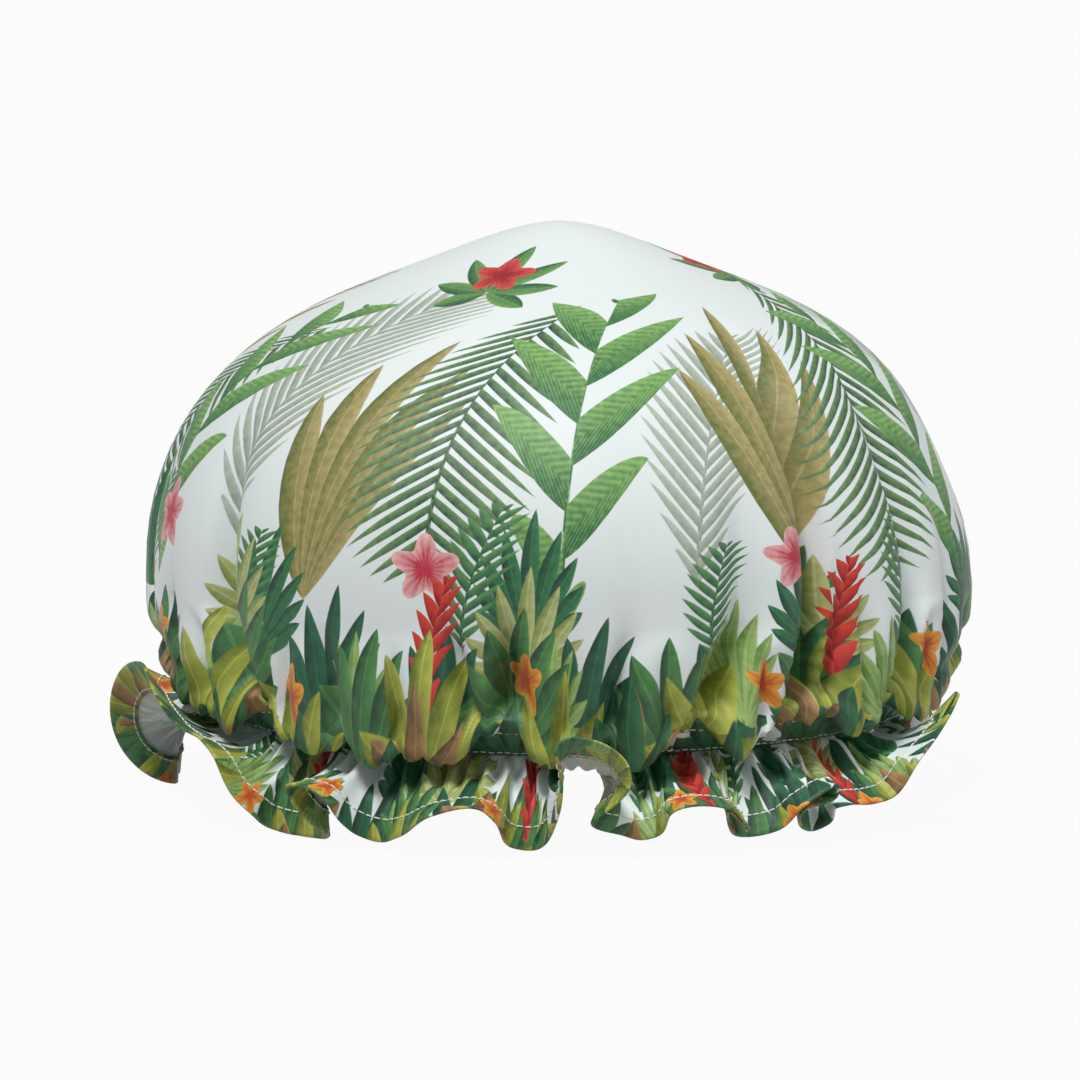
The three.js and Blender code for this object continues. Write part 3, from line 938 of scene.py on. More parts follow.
def small_folds(seed: int, spacing: float) -> tuple[Fold, ...]:
    """Strews the short folds that start low on the crown.

    Args:
        seed: Seed of their sizes and places.
        spacing: Mean spacing in degrees.

    Returns:
        The folds, all round the cap.
    """
    chance = np.random.default_rng(seed)
    made = []
    for azimuth in np.arange(0, 360, spacing):
        shift, deep, wide, start, lean = chance.uniform(-1, 1, 5)
        made.append(Fold(
            azimuth=azimuth + 0.3 * spacing * shift,
            depth=4.8 + 1.8 * deep,
            half_width=3.3 + 0.8 * wide,
            start=1.2 + 0.25 * start,
            lean=1.5 * lean,
            run=0.5,
            slot=0.0,
        ))
    return tuple(made)


FOLDS = LARGE_FOLDS + small_folds(seed=4, spacing=6.7)


def gathers(azimuth: Grid) -> Grid:
    """Ridges of the gathered cloth at the seam.

    Args:
        azimuth: Azimuths in radians.

    Returns:
        Heights, from 0 in the sharp valleys to 1.
    """
    wander = ripples(azimuth, (1.1, 5, 0.4), (0.8, 11, 2.1), (0.5, 23, 0))
    strength = ripples(azimuth, (0.22, 9, 1), level=0.78)
    return np.abs(np.sin(GATHER_WAVES * azimuth + wander)) * strength


@dataclass(frozen=True)
class Relief:
    """How the crown's cloth departs from the smooth crown: outwards, round the cap, level inwards, and down.

    The pocket is how deep the folds would be if the casing didn't close them.
    """

    height: Grid
    lean: Grid
    inset: Grid
    pocket: Grid
    sag: Grid


@dataclass(frozen=True)
class Crown:
    """The printed crown and the film that lines it."""

    line: Meridian
    columns: int = 560
    # Where each band of rows starts on the meridian, and how many rows it has
    bands: tuple[tuple[float, int], ...] = ((0.02, 25), (1.0, 22), (1.6, 30), (2.08, 10))
    # Flat discs in metres
    disc: float = 0.55
    film_disc: float = 0.535
    # Where on the meridian the folds close, the cloth hangs and puffs, and the gathers change
    folds_close: Span = (1.58, 1.84)
    hang_part: tuple[Span, Span] = ((1.2, 1.8), (1.88, 2.05))
    puff_part: tuple[Span, Span] = ((0.9, 1.6), (1.9, 2.06))
    gather_sinks: Span = (1.8, 1.97)
    gather_rises: Span = (1.7, 1.96)
    quilt_part: Span = (2.1, 2.9)
    seam_part: Span = (2.7, 3.0)
    loose_part: tuple[Span, Span] = ((0.0, 0.5), (1.2, 1.8))
    # Depths at which a fold draws the cloth in, sines of the sides' azimuths, and flares of the wide flutes
    pinch_depths: Span = (2.5, 11.0)
    side_sines: Span = (0.88, 0.985)
    flute_flares: Span = (75.0, 112.0)
    puff: float = 3.0
    lean_skew: float = 0.8
    sag: float = 18.0
    sag_ridge: float = 0.22
    sag_blur: int = 16
    flute_hold: float = 0.3
    pinch_hold: float = 0.5
    gather: float = 2.4
    gather_slant: float = 0.012
    gather_height: float = 1.15
    gather_sink: float = 0.7
    gather_middle: float = 0.5
    quilt_least: float = 0.45
    seam_hold: float = 0.6
    # Size of each swell of the slack dome, and its middle and reach on the meridian
    peak_dip: Swell = (5.0, 0.31, 0.2)
    top_dip: Swell = (1.2, 0.0, 0.1)
    left_rise: Swell = (2.2, 0.68, 0.2)
    right_dip: Swell = (4.5, 0.81, 0.15)
    ripple: Swell = (0.5, 0.95, 0.25)
    side_dip: Swell = (4.0, 1.64, 0.16)
    side_power: int = 6
    loose: float = 1.2
    # The film: its gap to the crown, its slack, and the room that it gives the folds
    film: float = 0.3
    film_gap: float = 0.75
    film_slack: float = 0.6
    film_columns: int = 12
    film_blur: int = 6
    film_room: float = 3.8
    film_room_depths: Span = (0.5, 4.0)
    film_closes: Span = (1.72, 1.95)
    film_tightens: Span = (1.84, 2.0)

    def places(self) -> tuple[Grid, Grid]:
        """Azimuths in radians and places on the meridian of the crown's points.

        Returns:
            Both, with a row for each place.
        """
        ends = [start for start, _ in self.bands[1:]] + [3.0]
        v = np.concatenate([
            np.linspace(start, end, rows, endpoint=end == 3.0)
            for (start, rows), end in zip(self.bands, ends)
        ])
        azimuth = np.linspace(0, math.tau, self.columns, endpoint=False) - math.pi
        return np.meshgrid(azimuth, v)

    def relief(self, azimuth: Grid, v: Grid) -> Relief:
        """Works out the folds, the puffs that hang between them, and the gathers.

        Args:
            azimuth: Azimuths in radians.
            v: Places on the meridian.

        Returns:
            The relief at these places.
        """
        free = 1 - smoothstep(v, *self.folds_close)
        pocket, lean = np.zeros_like(v), np.zeros_like(v)
        for fold in FOLDS:
            away, grown = fold.away(azimuth, v), fold.grown(v)
            pocket = np.maximum(pocket, fold.depth * fold.valley(away) * grown)
            flank = np.clip(-away if fold.lean > 0 else away, 0, 1)
            lean = lean + fold.lean * np.sin(math.pi * flank**self.lean_skew) ** 2 * grown * free
        pinch = smoothstep(pocket, *self.pinch_depths)
        ridge = gathers(azimuth + self.gather_slant * (3 - v))
        facing = 1 - smoothstep(np.abs(np.sin(azimuth)), *self.side_sines)
        turns = [(turn.azimuth, turn.flare) for turn in HEM_TURNS]
        flare = np.interp(np.degrees(azimuth), *zip(*turns), period=360)
        slack = ripples(azimuth, (0.12, 13, 0.7), (0.1, 29, 2), level=0.9)
        sag = self.sag * slack * (1 - self.sag_ridge + self.sag_ridge * ridge) * (1 - pinch)
        held = 1 - self.flute_hold * smoothstep(flare, *self.flute_flares)
        sag = blurred(sag * between(v, *self.hang_part) * held * facing, self.sag_blur, -1)
        puff = self.puff * (1 - pinch) * between(v, *self.puff_part) * facing
        reach = ripples(azimuth, (0.2, 7, 1), (0.12, 17, 0), level=1.45)
        start, end = self.quilt_part
        quilted = np.sin(math.pi * np.clip((v - start) / (end - start), 0, 1))
        quilted = self.quilt_least + (1 - self.quilt_least) * quilted
        close = 1 - self.seam_hold * smoothstep(v, *self.seam_part)
        drawn = smoothstep((v - reach) / (2.0 - reach), 0, 1)
        drawn = drawn * (self.gather_height - self.gather_sink * smoothstep(v, *self.gather_sinks))
        rise = self.gather * np.where(v < 2, drawn, quilted * close)
        pucker = rise * (ridge - self.gather_middle * (1 - smoothstep(v, *self.gather_rises)))
        height = puff + pucker + self.drape(azimuth, v)
        return Relief(height, lean, pocket * free, pocket, sag * (1 - self.pinch_hold * pinch))

    def drape(self, azimuth: Grid, v: Grid) -> Grid:
        """How the slack dome stands off its smooth outline, with a soft peak and a lower right shoulder.

        Args:
            azimuth: Azimuths in radians.
            v: Places on the meridian.

        Returns:
            Distances outwards.
        """
        right, left = (np.clip(way * np.sin(azimuth), 0, 1) ** 2 for way in (1, -1))
        peak = -swell(v, *self.peak_dip) - swell(v, *self.top_dip)
        shoulders = left * swell(v, *self.left_rise) - right * swell(v, *self.right_dip)
        # Broad waves round the dome and down it
        billow = np.sin(3 * azimuth + 4 * v) * np.sin(2.6 * v)
        loose = self.loose * billow * between(v, *self.loose_part)
        ripple = np.sin(19 * azimuth + 3 * np.sin(2 * azimuth)) * swell(v, *self.ripple)
        sides = np.sin(azimuth) ** self.side_power * swell(v, *self.side_dip)
        return peak + shoulders + loose + ripple - sides

    def lining(self, azimuth: Grid, v: Grid, relief: Relief) -> Grid:
        """Lays the film inside the crown, clear of its folds.

        Args:
            azimuth: Azimuths in radians.
            v: Places on the meridian.
            relief: Relief of the crown at these places.

        Returns:
            Points of the film's outer face.
        """
        lowest, deepest = relief.height, relief.pocket
        for step in range(1, self.film_columns + 1):
            for way in (-step, step):
                lowest = np.minimum(lowest, np.roll(relief.height, way, 1))
                deepest = np.maximum(deepest, np.roll(relief.pocket, way, 1))
        lowest, deepest = (blurred(grid, self.film_blur, 1) for grid in (lowest, deepest))
        crinkle = 0.5 + 0.5 * np.sin(31 * azimuth + 9 * v) * np.sin(19 * azimuth - 14 * v)
        loose = 1 - smoothstep(v, *self.film_tightens)
        room = deepest + self.film_room * smoothstep(deepest, *self.film_room_depths)
        room = room * (1 - smoothstep(v, *self.film_closes))
        depth = np.where(v < 2, np.minimum(lowest, 0) * loose, 0) - self.film_gap + self.film / 2
        return self.line.surface(azimuth, v, depth - (self.film_slack + crinkle) * loose, inset=room)

    def build(self, satin: bpy.types.Material) -> None:
        """Makes the crown and its lining.

        Args:
            satin: The printed cloth.
        """
        azimuth, v = self.places()
        relief = self.relief(azimuth, v)
        cloth = self.line.cloth
        outer = self.line.surface(azimuth, v, relief.height + cloth / 2, relief.lean, relief.inset)
        outer[..., 2] -= relief.sag
        crown = self.sheet(outer, v).build("crown_cloth", cloth, (satin, SATIN_BACK.material()))
        settle(crown, Body.CAP, Slot.SATIN, "outer_crown")
        inner = self.lining(azimuth, v, relief)
        lining = self.sheet(inner, v).build("lining_film", self.film, (LINING_FILM.material(),))
        settle(lining, Body.CAP, Slot.FILM, "waterproof_lining")

    def sheet(self, points: Grid, v: Grid) -> Sheet:
        """Lays the print on a dome of points.

        Args:
            points: Points of the dome.
            v: Their places on the meridian.

        Returns:
            The sheet.
        """
        along = np.tile(np.linspace(0, CROWN_GIRTH, self.columns + 1), (len(v), 1))
        up = np.tile(self.line.climb(v[:, :1]), (1, self.columns + 1))
        girth = self.line.flat(v)[0] * math.tau / CROWN_GIRTH
        return Sheet(points, along, up, girth, np.zeros_like(v), pole=True)


@dataclass(frozen=True)
class Ruffle:
    """The gathered strip below the seam, with its folded hem."""

    line: Meridian
    width: float = 34.0
    hem: float = 6.0
    fold: float = 7.5
    seam_gap: float = 0.1
    tuck: float = 0.5
    root_angle: float = 48.0
    root_share: float = 0.4
    end_azimuth: float = 187.0
    columns: int = 1300
    rows: int = 18
    hem_rows: int = 6
    edge_bulge: float = 0.8
    edge_turn: float = 0.5
    gather: float = 2.9
    gather_pitch: float = 12.0
    # Share of the gathers at the seam, and shares of the width over which they grow and fade
    root_gather: float = 0.03
    gather_grows: Span = (0.03, 0.2)
    gather_fades: Span = (0.2, 0.78)
    # How far wide flutes calm the gathers, and the flares that count as wide
    calm: float = 0.65
    calm_flares: Span = (78.0, 104.0)
    # Width of the cut strip in metres
    cut_width: float = 0.041
    print_foot: float = 31.0

    def path(self) -> Grid:
        """Follows the hem from the strip's end seam.

        Returns:
            Azimuths, flares and swings in radians, evenly spaced along the hem.
        """
        table = np.array([(t.azimuth, t.flare, t.swing) for t in HEM_TURNS], float)
        first = int(np.argmin(np.abs(table[:, 0] - self.end_azimuth)))
        turn = np.array([360.0, 0, 0])
        table = np.concatenate([table[first:] - turn, table[:first]])
        table = np.radians(np.concatenate([table[-2:] - turn, table, table[:3] + turn]))
        reach = lengths(self.strip(table, np.ones(1))[0])
        slope = np.gradient(table, reach, axis=0)
        where = np.linspace(reach[2], reach[-3], self.columns, endpoint=False)
        knot = np.searchsorted(reach, where, side="right") - 1
        span = (reach[knot + 1] - reach[knot])[:, None]
        t = (where - reach[knot])[:, None] / span
        return (
            table[knot] * (1 + 2 * t) * (1 - t) ** 2 + slope[knot] * span * t * (1 - t) ** 2
            + table[knot + 1] * t * t * (3 - 2 * t) + slope[knot + 1] * span * t * t * (t - 1)
        )

    def strip(self, path: Grid, share: Grid) -> Grid:
        """Points of the strip before it is gathered.

        Args:
            path: Azimuths, flares and swings in radians.
            share: Shares of the width, from 0 at the seam to 1 at the hem.

        Returns:
            Points in millimetres: a row for each share and a column for each place on the path.
        """
        azimuth, flare, swing = path.T
        first = math.radians(self.root_angle)
        across = np.stack([np.cos(azimuth), np.sin(azimuth), 0 * azimuth], -1)
        root = around(azimuth, self.line.opening_width / 2 - self.tuck, self.line.seam_level - self.seam_gap)
        fall = around(azimuth, np.sin(flare), -np.cos(flare))
        fall = fall * np.cos(swing)[:, None] + across * np.sin(swing)[:, None]
        bend = root + around(azimuth, math.sin(first), -math.cos(first)) * self.root_share * self.width
        t = share[:, None, None]
        return (1 - t) ** 2 * root + 2 * t * (1 - t) * bend + t * t * (root + fall * self.width)

    def face(self) -> tuple[Grid, Grid, Grid, float]:
        """The strip's outer face.

        Returns:
            Its points, their outward directions, the shares of its rows, and the spacing of its columns.
        """
        hem_top = 1 - self.fold / self.width
        hem_shares = np.linspace(hem_top, 1, self.hem_rows + 1)[1:]
        share = np.concatenate([np.linspace(0, hem_top, self.rows), hem_shares])
        path = self.path()
        points = self.strip(path, share)
        hem = points[-1]
        spacing = np.linalg.norm(np.roll(hem, -1, 0) - hem, axis=1).mean()
        along = np.arange(self.columns) / self.columns
        folds = round(self.columns * spacing / self.gather_pitch)
        wander = ripples(math.tau * along, (0.35, 17, 0), (0.25, 41, 1))
        ridge = np.sin(math.tau * (folds * along + wander))[None, :, None] * self.gather
        drawn = self.root_gather + (1 - self.root_gather) * smoothstep(share, *self.gather_grows)
        drawn = drawn * (1 - smoothstep(share, *self.gather_fades))
        calm = 1 - self.calm * smoothstep(np.degrees(path[:, 1]), *self.calm_flares)
        points = points + self.outward(points) * ridge * calm[None, :, None] * drawn[:, None, None]
        return points, self.outward(points), share, spacing

    def outward(self, points: Grid) -> Grid:
        """Directions square to the strip, away from the inside of the cap."""
        along = np.roll(points, -1, 1) - np.roll(points, 1, 1)
        return unit(np.cross(np.gradient(points, axis=0), along))

    def build(self, satin: bpy.types.Material) -> None:
        """Makes the strip with its doubled hem.

        Args:
            satin: The printed cloth.
        """
        points, normal, share, spacing = self.face()
        cloth = self.line.cloth
        start = self.rows - 1
        inner = (points - normal * cloth)[: start + 1]
        folded = points[start:] - normal[start:] * 2 * cloth
        fall = unit(points[-1:] - points[-2:-1])
        edge = points[-1:] - normal[-1:] * cloth + fall * cloth * self.edge_bulge
        section = np.concatenate([points, edge, folded[::-1], inner[::-1]])
        section[..., 2] = np.maximum(section[..., 2], TABLE_GAP)
        down = share * self.width
        turned = self.width + self.edge_turn
        down = np.concatenate([down, [turned], 2 * turned - down[start:][::-1], down[: start + 1][::-1]])
        reverse = np.arange(len(section)) >= len(section) - len(inner)
        along = np.tile(np.arange(self.columns + 1) * spacing, (len(section), 1))
        level = np.tile((self.print_foot + self.width - down)[:, None], (1, self.columns + 1))
        ones = np.ones(section.shape[:2])
        sheet = Sheet(section, along, level, ones, ones * reverse[:, None], closed_rows=True)
        strip = sheet.build("ruffle_cloth", 0.0, (satin,))
        settle(strip, Body.CAP, Slot.SATIN, "ruffle")
        length = self.columns * spacing * MM


@dataclass(frozen=True)
class Stitch:
    """One stitch of spun thread, raised in its middle. Reaches are shares of its length."""

    length: float = 2.5
    radius: float = 0.26
    sides: int = 6
    middle: float = 0.5
    dive: float = 0.45
    # Reach and taper of each step towards an end
    steps: tuple[Span, ...] = ((0.17, 0.82), (0.08, 0.45))
    # Digits of a millimetre that tell its points apart
    digits: int = 4

    def model(self) -> tuple[Grid, list[list[int]]]:
        """Models the stitch along X, with Z away from the cloth.

        Returns:
            Points in millimetres, and faces.
        """
        bpy.ops.object.select_all(action="DESELECT")
        depth = self.length * self.middle
        bpy.ops.mesh.primitive_cylinder_add(
            vertices=self.sides, radius=self.radius, depth=depth, rotation=(0, math.pi / 2, 0)
        )
        made = bpy.context.object
        bpy.ops.object.transform_apply(location=False, rotation=True, scale=False)
        bpy.ops.object.mode_set(mode="EDIT")
        bpy.ops.mesh.select_mode(type="FACE")
        for way in (-1, 1):
            for share, taper in self.steps:
                self.select_end(made, way)
                reach = share * self.length
                move = (way * reach, 0, -reach * self.dive)
                bpy.ops.mesh.extrude_region_move(TRANSFORM_OT_translate={"value": move})
                bpy.ops.transform.resize(value=(1, taper, taper))
        bpy.ops.object.mode_set(mode="OBJECT")
        mesh = made.data
        # Extruding leaves points and faces in an order that changes from run to run, so they are sorted
        order = sorted(mesh.vertices, key=lambda vertex: [round(number, self.digits) for number in vertex.co])
        place = {vertex.index: k for k, vertex in enumerate(order)}
        points = np.array([vertex.co for vertex in order])
        faces = []
        for face in mesh.polygons:
            ring = [place[i] for i in face.vertices]
            first = ring.index(min(ring))
            faces.append(ring[first:] + ring[:first])
        bpy.data.objects.remove(made)
        bpy.data.meshes.remove(mesh)
        return points, sorted(faces)

    def select_end(self, made: bpy.types.Object, way: int) -> None:
        """Selects only the face at one end of the stitch.

        Args:
            made: The stitch, in edit mode.
            way: The end: -1 or 1 along X.
        """
        bpy.ops.mesh.select_all(action="DESELECT")
        bpy.ops.object.mode_set(mode="OBJECT")
        end = max(made.data.polygons, key=lambda face: way * face.center.x)
        end.select = True
        bpy.ops.object.mode_set(mode="EDIT")


@dataclass
class Stitching:
    """Lines of stitches, each line one piece of many copies of a stitch."""

    stitch: Stitch = field(default_factory=Stitch)
    gap: float = 0.3
    # The casing's lines: distance in from its edges, points of a path, and share of the gathers followed
    margin: float = 1.5
    samples: int = 1600
    follow: float = 0.6
    # How far the thread's middle stands off the cloth, in its radii
    casing_stand: float = 0.5
    hem_stand: float = 0.8
    points: Grid = field(init=False)
    faces: list[list[int]] = field(init=False)
    material: bpy.types.Material = field(init=False)

    def __post_init__(self) -> None:
        """Models the stitch that every line copies."""
        self.points, self.faces = self.stitch.model()
        self.material = SPUN_THREAD.material()

    def line(self, path: Grid, normal: Grid, closed: bool) -> tuple[Grid, Grid, Grid]:
        """Spaces stitches along a path.

        Args:
            path: Points of the path.
            normal: Directions away from the cloth at these points.
            closed: Whether the path closes on itself.

        Returns:
            Middles of the stitches, and their directions along the path and away from the cloth.
        """
        if closed:
            path, normal = (np.concatenate([grid, grid[:1]]) for grid in (path, normal))
        total = lengths(path)

        def at(grid: Grid, where: Grid) -> Grid:
            """Reads a grid at distances along the path."""
            return np.stack([np.interp(where, total, grid[:, k]) for k in range(3)], -1)

        count = max(1, round(total[-1] / (self.stitch.length + self.gap)))
        middle = (np.arange(count) + 0.5) * total[-1] / count
        reach = self.stitch.length / 2
        ahead = at(path, np.minimum(middle + reach, total[-1])) - at(path, np.maximum(middle - reach, 0))
        return at(path, middle), ahead, at(normal, middle)

    def build(self, name: str, lines: Sequence[tuple[Grid, Grid, Grid]]) -> bpy.types.Object:
        """Makes one piece of all the stitches of some lines.

        Args:
            name: Name of the piece.
            lines: Middles and directions of the stitches of each line.

        Returns:
            The object.
        """
        centre, ahead, away = (np.concatenate(parts) for parts in zip(*lines))
        ahead = unit(ahead)
        side = unit(np.cross(away, ahead))
        frames = np.stack([ahead, side, np.cross(ahead, side)], 1)
        points = centre[:, None] + np.einsum("pk,skj->spj", self.points, frames)
        points[..., 2] = np.maximum(points[..., 2], TABLE_GAP)
        size = len(self.points)
        faces = [[i + k * size for i in face] for k in range(len(centre)) for face in self.faces]
        return mesh_piece(name, points, faces, (self.material,))

    def build_casing(self, crown: Crown) -> None:
        """Sews the two lines along the casing, which show on the outside of the crown.

        Args:
            crown: The crown that they go through.
        """
        depth = crown.line.casing_depth
        stand = crown.line.cloth / 2 + self.stitch.radius * self.casing_stand
        azimuth = np.linspace(0, math.tau, self.samples, endpoint=False)
        for name, node, up in (
            ("casing_top_thread", "casing_top_stitch", depth - self.margin),
            ("casing_bottom_thread", "casing_bottom_stitch", self.margin),
        ):
            v = np.full_like(azimuth, 3 - up / depth)
            path = crown.line.surface(azimuth, v, crown.relief(azimuth, v).height * self.follow + stand)
            normal = around(azimuth, *crown.line.square(v))
            settle(self.build(name, [self.line(path, normal, True)]), Body.CAP, Slot.THREAD, node)

    def build_hem(self, ruffle: Ruffle) -> None:
        """Sews the hem, seen on both of its sides, and the end seam of the strip.

        Args:
            ruffle: The strip that they go through.
        """
        points, normal, share, _ = ruffle.face()
        row = int(np.argmin(np.abs(share - 1 + ruffle.hem / ruffle.width)))
        cloth = ruffle.line.cloth
        stand = self.stitch.radius * self.hem_stand
        outer = points[row] + normal[row] * stand
        inner = points[row] - normal[row] * (2 * cloth + stand)
        hem = [self.line(outer, normal[row], True), self.line(inner, -normal[row], True)]
        settle(self.build("hem_thread", hem), Body.CAP, Slot.THREAD, "ruffle_hem_stitch")
        rows = slice(2, row - 1)
        seam = points[rows, 0] - normal[rows, 0] * (cloth + stand)
        end = [self.line(seam, -normal[rows, 0], False)]
        settle(self.build("end_seam_thread", end), Body.CAP, Slot.THREAD, "ruffle_end_seam")

    def build_tack(self, casing: "Casing") -> None:
        """Sews the zigzag that joins the lapped ends of the elastic.

        Args:
            casing: The casing that holds the elastic.
        """
        points = casing.tack_points()
        normal = unit(np.tile(points[0] * [-1, -1, 0], (len(points), 1)))
        zigzag = [self.line(points[k : k + 2], normal[k : k + 2], False) for k in range(len(points) - 1)]
        settle(self.build("lap_tack_thread", zigzag), Body.ELASTIC, Slot.THREAD, "elastic_lap_tack")


@dataclass(frozen=True)
class Casing:
    """The tape that makes the tunnel inside the cap, and the flat elastic that runs in it."""

    line: Meridian
    columns: int = 480
    tape: float = 0.4
    tape_gap: float = 0.05
    margin: float = 0.5
    foot: float = 2.0
    bend: float = 0.4
    corner: float = 0.6
    roof: float = 4.95
    roof_rise: float = 0.2
    pucker: float = 0.7
    seam_inset: float = 2.0
    running_gap: float = 0.4
    lining_face: float = 0.95
    elastic_width: float = 8.0
    elastic_thickness: float = 1.0
    ribs: int = 6
    rib_steps: int = 4
    rib_depth: float = 0.12
    lap: float = 14.0
    lap_ramp: float = 24.0
    lap_step: float = 1.3
    tack_corners: int = 6
    tack_stand: float = 0.2

    def point(self, azimuth: Grid, up: Grid, depth: Grid) -> Grid:
        """Points at distances up from the seam and in from the crown's middle surface."""
        return self.line.surface(azimuth, 3 - up / self.line.casing_depth, -depth)

    @property
    def seam_radius(self) -> float:
        """Radius of the opening at the seam."""
        return self.line.opening_width / 2

    @property
    def low(self) -> float:
        """Distance of the elastic's lower edge up from the seam."""
        return self.margin + self.foot + self.tape + self.running_gap

    def build(self) -> None:
        """Makes the tape and the elastic."""
        self.build_tape()
        self.build_elastic()

    def build_tape(self) -> None:
        """Makes the tape, which puckers away from the elastic."""
        wall = self.low - self.running_gap
        far = wall + self.elastic_width + 2 * self.running_gap
        floor = self.lining_face + self.tape + self.tape_gap
        bend, corner, roof = self.bend, self.corner, self.roof
        corners = np.array([
            (self.margin, floor), (wall - bend, floor), (wall, floor + corner), (wall, roof - corner),
            (wall + corner, roof), ((wall + far) / 2, roof + self.roof_rise), (far - corner, roof),
            (far, roof - corner), (far, floor + corner), (far + bend, floor),
            (self.line.casing_depth - self.margin, floor),
        ])
        azimuth = np.linspace(0, math.tau, self.columns, endpoint=False) - math.pi
        wide, up = np.meshgrid(azimuth, corners[:, 0])
        arch = smoothstep(corners[:, 1], floor, roof)[:, None]
        points = self.point(wide, up, corners[:, 1:2] + arch * self.pucker * gathers(wide))
        flat, lay = np.zeros_like(wide), np.zeros((len(corners), self.columns + 1))
        sheet = Sheet(points[::-1], lay, lay, flat, flat)
        made = sheet.build("casing_tape", self.tape, (CASING_TAPE.material(),), offset=1.0)
        settle(made, Body.CAP, Slot.TAPE, "elastic_casing")

    def elastic_face(self, angle: Grid) -> Grid:
        """Depth of the elastic's outer face at angles along it, with the step up to the lap."""
        step = self.lap_step * smoothstep(angle, math.tau - self.lap_ramp / self.seam_radius, math.tau)
        return self.lining_face + self.running_gap + step

    def build_elastic(self) -> None:
        """Makes the ribbed elastic, lapped at the back."""
        angle = np.linspace(0, math.tau + self.lap / self.seam_radius, self.columns)
        steps = np.linspace(0, 1, self.rib_steps * self.ribs + 1)
        groove = self.rib_depth * (0.5 + 0.5 * np.cos(math.tau * self.ribs * steps))
        front = np.stack([self.low + steps * self.elastic_width, groove], 1)
        back = np.stack([self.low + steps[::-1] * self.elastic_width, self.elastic_thickness - groove], 1)
        section = np.concatenate([front, back])
        points = self.point(
            (math.pi + angle)[:, None],
            section[None, :, 0] + 0 * angle[:, None],
            self.elastic_face(angle)[:, None] + section[None, :, 1],
        )
        rows, count, _ = points.shape
        last = (rows - 1) * count
        faces = [
            [row + i, row + after, row + count + after, row + count + i]
            for row in range(0, last, count)
            for i, after in enumerate([*range(1, count), 0])
        ]
        for start, way in ((0, -1), (last, 1)):
            for i in range(count // 2 - 1):
                quad = [start + i, start + i + 1, start + count - 2 - i, start + count - 1 - i]
                faces.append(quad[::way])
        made = mesh_piece("elastic_loop", points, faces, (ELASTIC_BRAID.material(),), smooth=False)
        settle(made, Body.ELASTIC, Slot.ELASTIC, "elastic_band")

    def tack_points(self) -> Grid:
        """Places the zigzag over the lap.

        Returns:
            Its corners.
        """
        corner = np.arange(self.tack_corners)
        along = (corner + 0.5) / self.tack_corners * self.lap
        inset = self.elastic_width / 4
        up = np.where(corner % 2, self.low + inset, self.low + self.elastic_width - inset)
        face = self.lining_face + self.running_gap + self.lap_step + self.elastic_thickness
        depth = np.full(self.tack_corners, face + self.tack_stand)
        return self.point(math.pi + along / self.seam_radius, up, depth)


def towards(azimuth: float, elevation: float) -> Vector:
    """Direction from the cap to an azimuth and an elevation in degrees."""
    turn, tilt = math.radians(azimuth), math.radians(elevation)
    return Vector((math.sin(turn) * math.cos(tilt), -math.cos(turn) * math.cos(tilt), math.sin(tilt)))


@dataclass(frozen=True)
class Lamp:
    """A far lamp: its strength, the spread that softens its shadows, and where it stands, in degrees."""

    name: str
    strength: float
    spread: float
    azimuth: float
    elevation: float


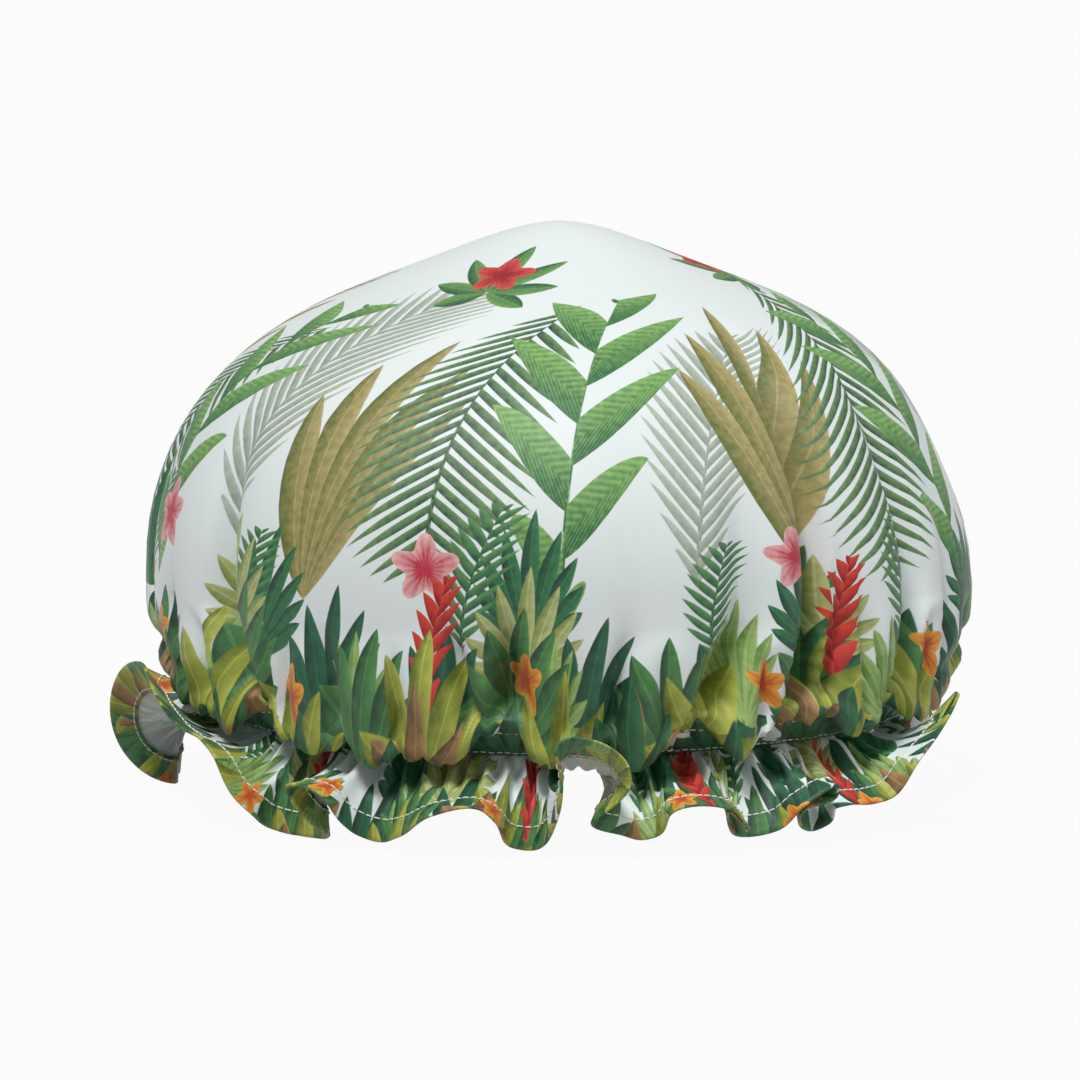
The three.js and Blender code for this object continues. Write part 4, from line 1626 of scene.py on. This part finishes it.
@dataclass(frozen=True)
class Studio:
    """White floor, soft light, and the camera at the photograph's view."""

    aim: tuple[float, float, float] = (-7.06, 0.0, 88.07)
    elevation: float = 7.9
    distance: float = 2000.0
    frame_width: float = 390.96
    floor: float = 40000.0
    floor_tone: str = "#adadad"
    floor_glow: float = 0.95
    surroundings: str = "#ffffff"
    ambient: float = 0.21
    lamps: tuple[Lamp, ...] = (Lamp("key light", 2.35, 16, -30, 65), Lamp("fill light", 0.7, 50, 72, 42))

    def build(self) -> None:
        """Sets the stage."""
        scene = bpy.context.scene
        scene.view_settings.view_transform = "Standard"
        self.build_camera(scene)
        self.build_floor()
        self.build_light(scene)

    def build_camera(self, scene: bpy.types.Scene) -> None:
        """Makes the camera.

        Args:
            scene: Scene that it films.
        """
        data = bpy.data.cameras.new("camera")
        data.sensor_width = 36.0
        data.lens = data.sensor_width * self.distance / self.frame_width
        data.clip_end = 100.0
        camera = bpy.data.objects.new("camera", data)
        back = towards(0, self.elevation)
        camera.location = (Vector(self.aim) + back * self.distance) * MM
        camera.rotation_euler = (-back).to_track_quat("-Z", "Y").to_euler()
        scene.collection.objects.link(camera)
        scene.camera = camera

    def build_floor(self) -> None:
        """Makes the white floor, which keeps a pale shadow."""
        bpy.ops.object.select_all(action="DESELECT")
        bpy.ops.mesh.primitive_circle_add(vertices=64, radius=self.floor * MM, fill_type="NGON")
        floor = bpy.context.object
        floor.name = "floor"
        # Studio paper: an even white with no edge, on which only a faint shadow shows
        made = bpy.data.materials.new("matt white paper")
        made.use_nodes = True
        tree = made.node_tree
        tree.nodes.clear()
        paper = add_node(tree, "ShaderNodeBsdfDiffuse", {"Color": srgb(self.floor_tone)})
        glow = add_node(tree, "ShaderNodeEmission", {"Color": srgb(self.surroundings), "Strength": 1.0})
        path = add_node(tree, "ShaderNodeLightPath")
        seen = Field(tree, path.outputs["Is Camera Ray"])
        for name in ("Is Glossy Ray", "Is Transmission Ray"):
            seen = seen.through(MATH, {1: path.outputs[name]}, operation="MAXIMUM")
        shaders = {0: seen * self.floor_glow, 1: paper.outputs[0], 2: glow.outputs[0]}
        mixed = add_node(tree, "ShaderNodeMixShader", shaders)
        add_node(tree, "ShaderNodeOutputMaterial", {0: mixed.outputs[0]})
        floor.data.materials.append(made)

    def build_light(self, scene: bpy.types.Scene) -> None:
        """Makes the soft lights and the white surroundings.

        Args:
            scene: Scene that they light.
        """
        world = bpy.data.worlds.new("white studio")
        world.use_nodes = True
        tree = world.node_tree
        seen = Field(tree, add_node(tree, "ShaderNodeLightPath").outputs["Is Camera Ray"])
        strength = seen * (1 - self.ambient) + self.ambient
        plug(tree, tree.nodes["Background"], {"Color": srgb(self.surroundings), "Strength": strength})
        scene.world = world
        for lamp in self.lamps:
            data = bpy.data.lights.new(lamp.name, "SUN")
            data.energy = lamp.strength
            data.angle = math.radians(lamp.spread)
            made = bpy.data.objects.new(lamp.name, data)
            made.rotation_euler = towards(lamp.azimuth, lamp.elevation).to_track_quat("Z", "Y").to_euler()
            scene.collection.objects.link(made)


def main() -> None:
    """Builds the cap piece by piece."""
    logging.basicConfig(level=logging.INFO, format="%(name)s: %(message)s")
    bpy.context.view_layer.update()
    Studio().build()
    line = Meridian()
    satin = PrintedSatin().material()
    crown = Crown(line)
    crown.build(satin)
    ruffle = Ruffle(line)
    ruffle.build(satin)
    casing = Casing(line)
    casing.build()
    stitching = Stitching()
    stitching.build_casing(crown)
    stitching.build_hem(ruffle)
    stitching.build_tack(casing)


if __name__ == "__main__":
    main()
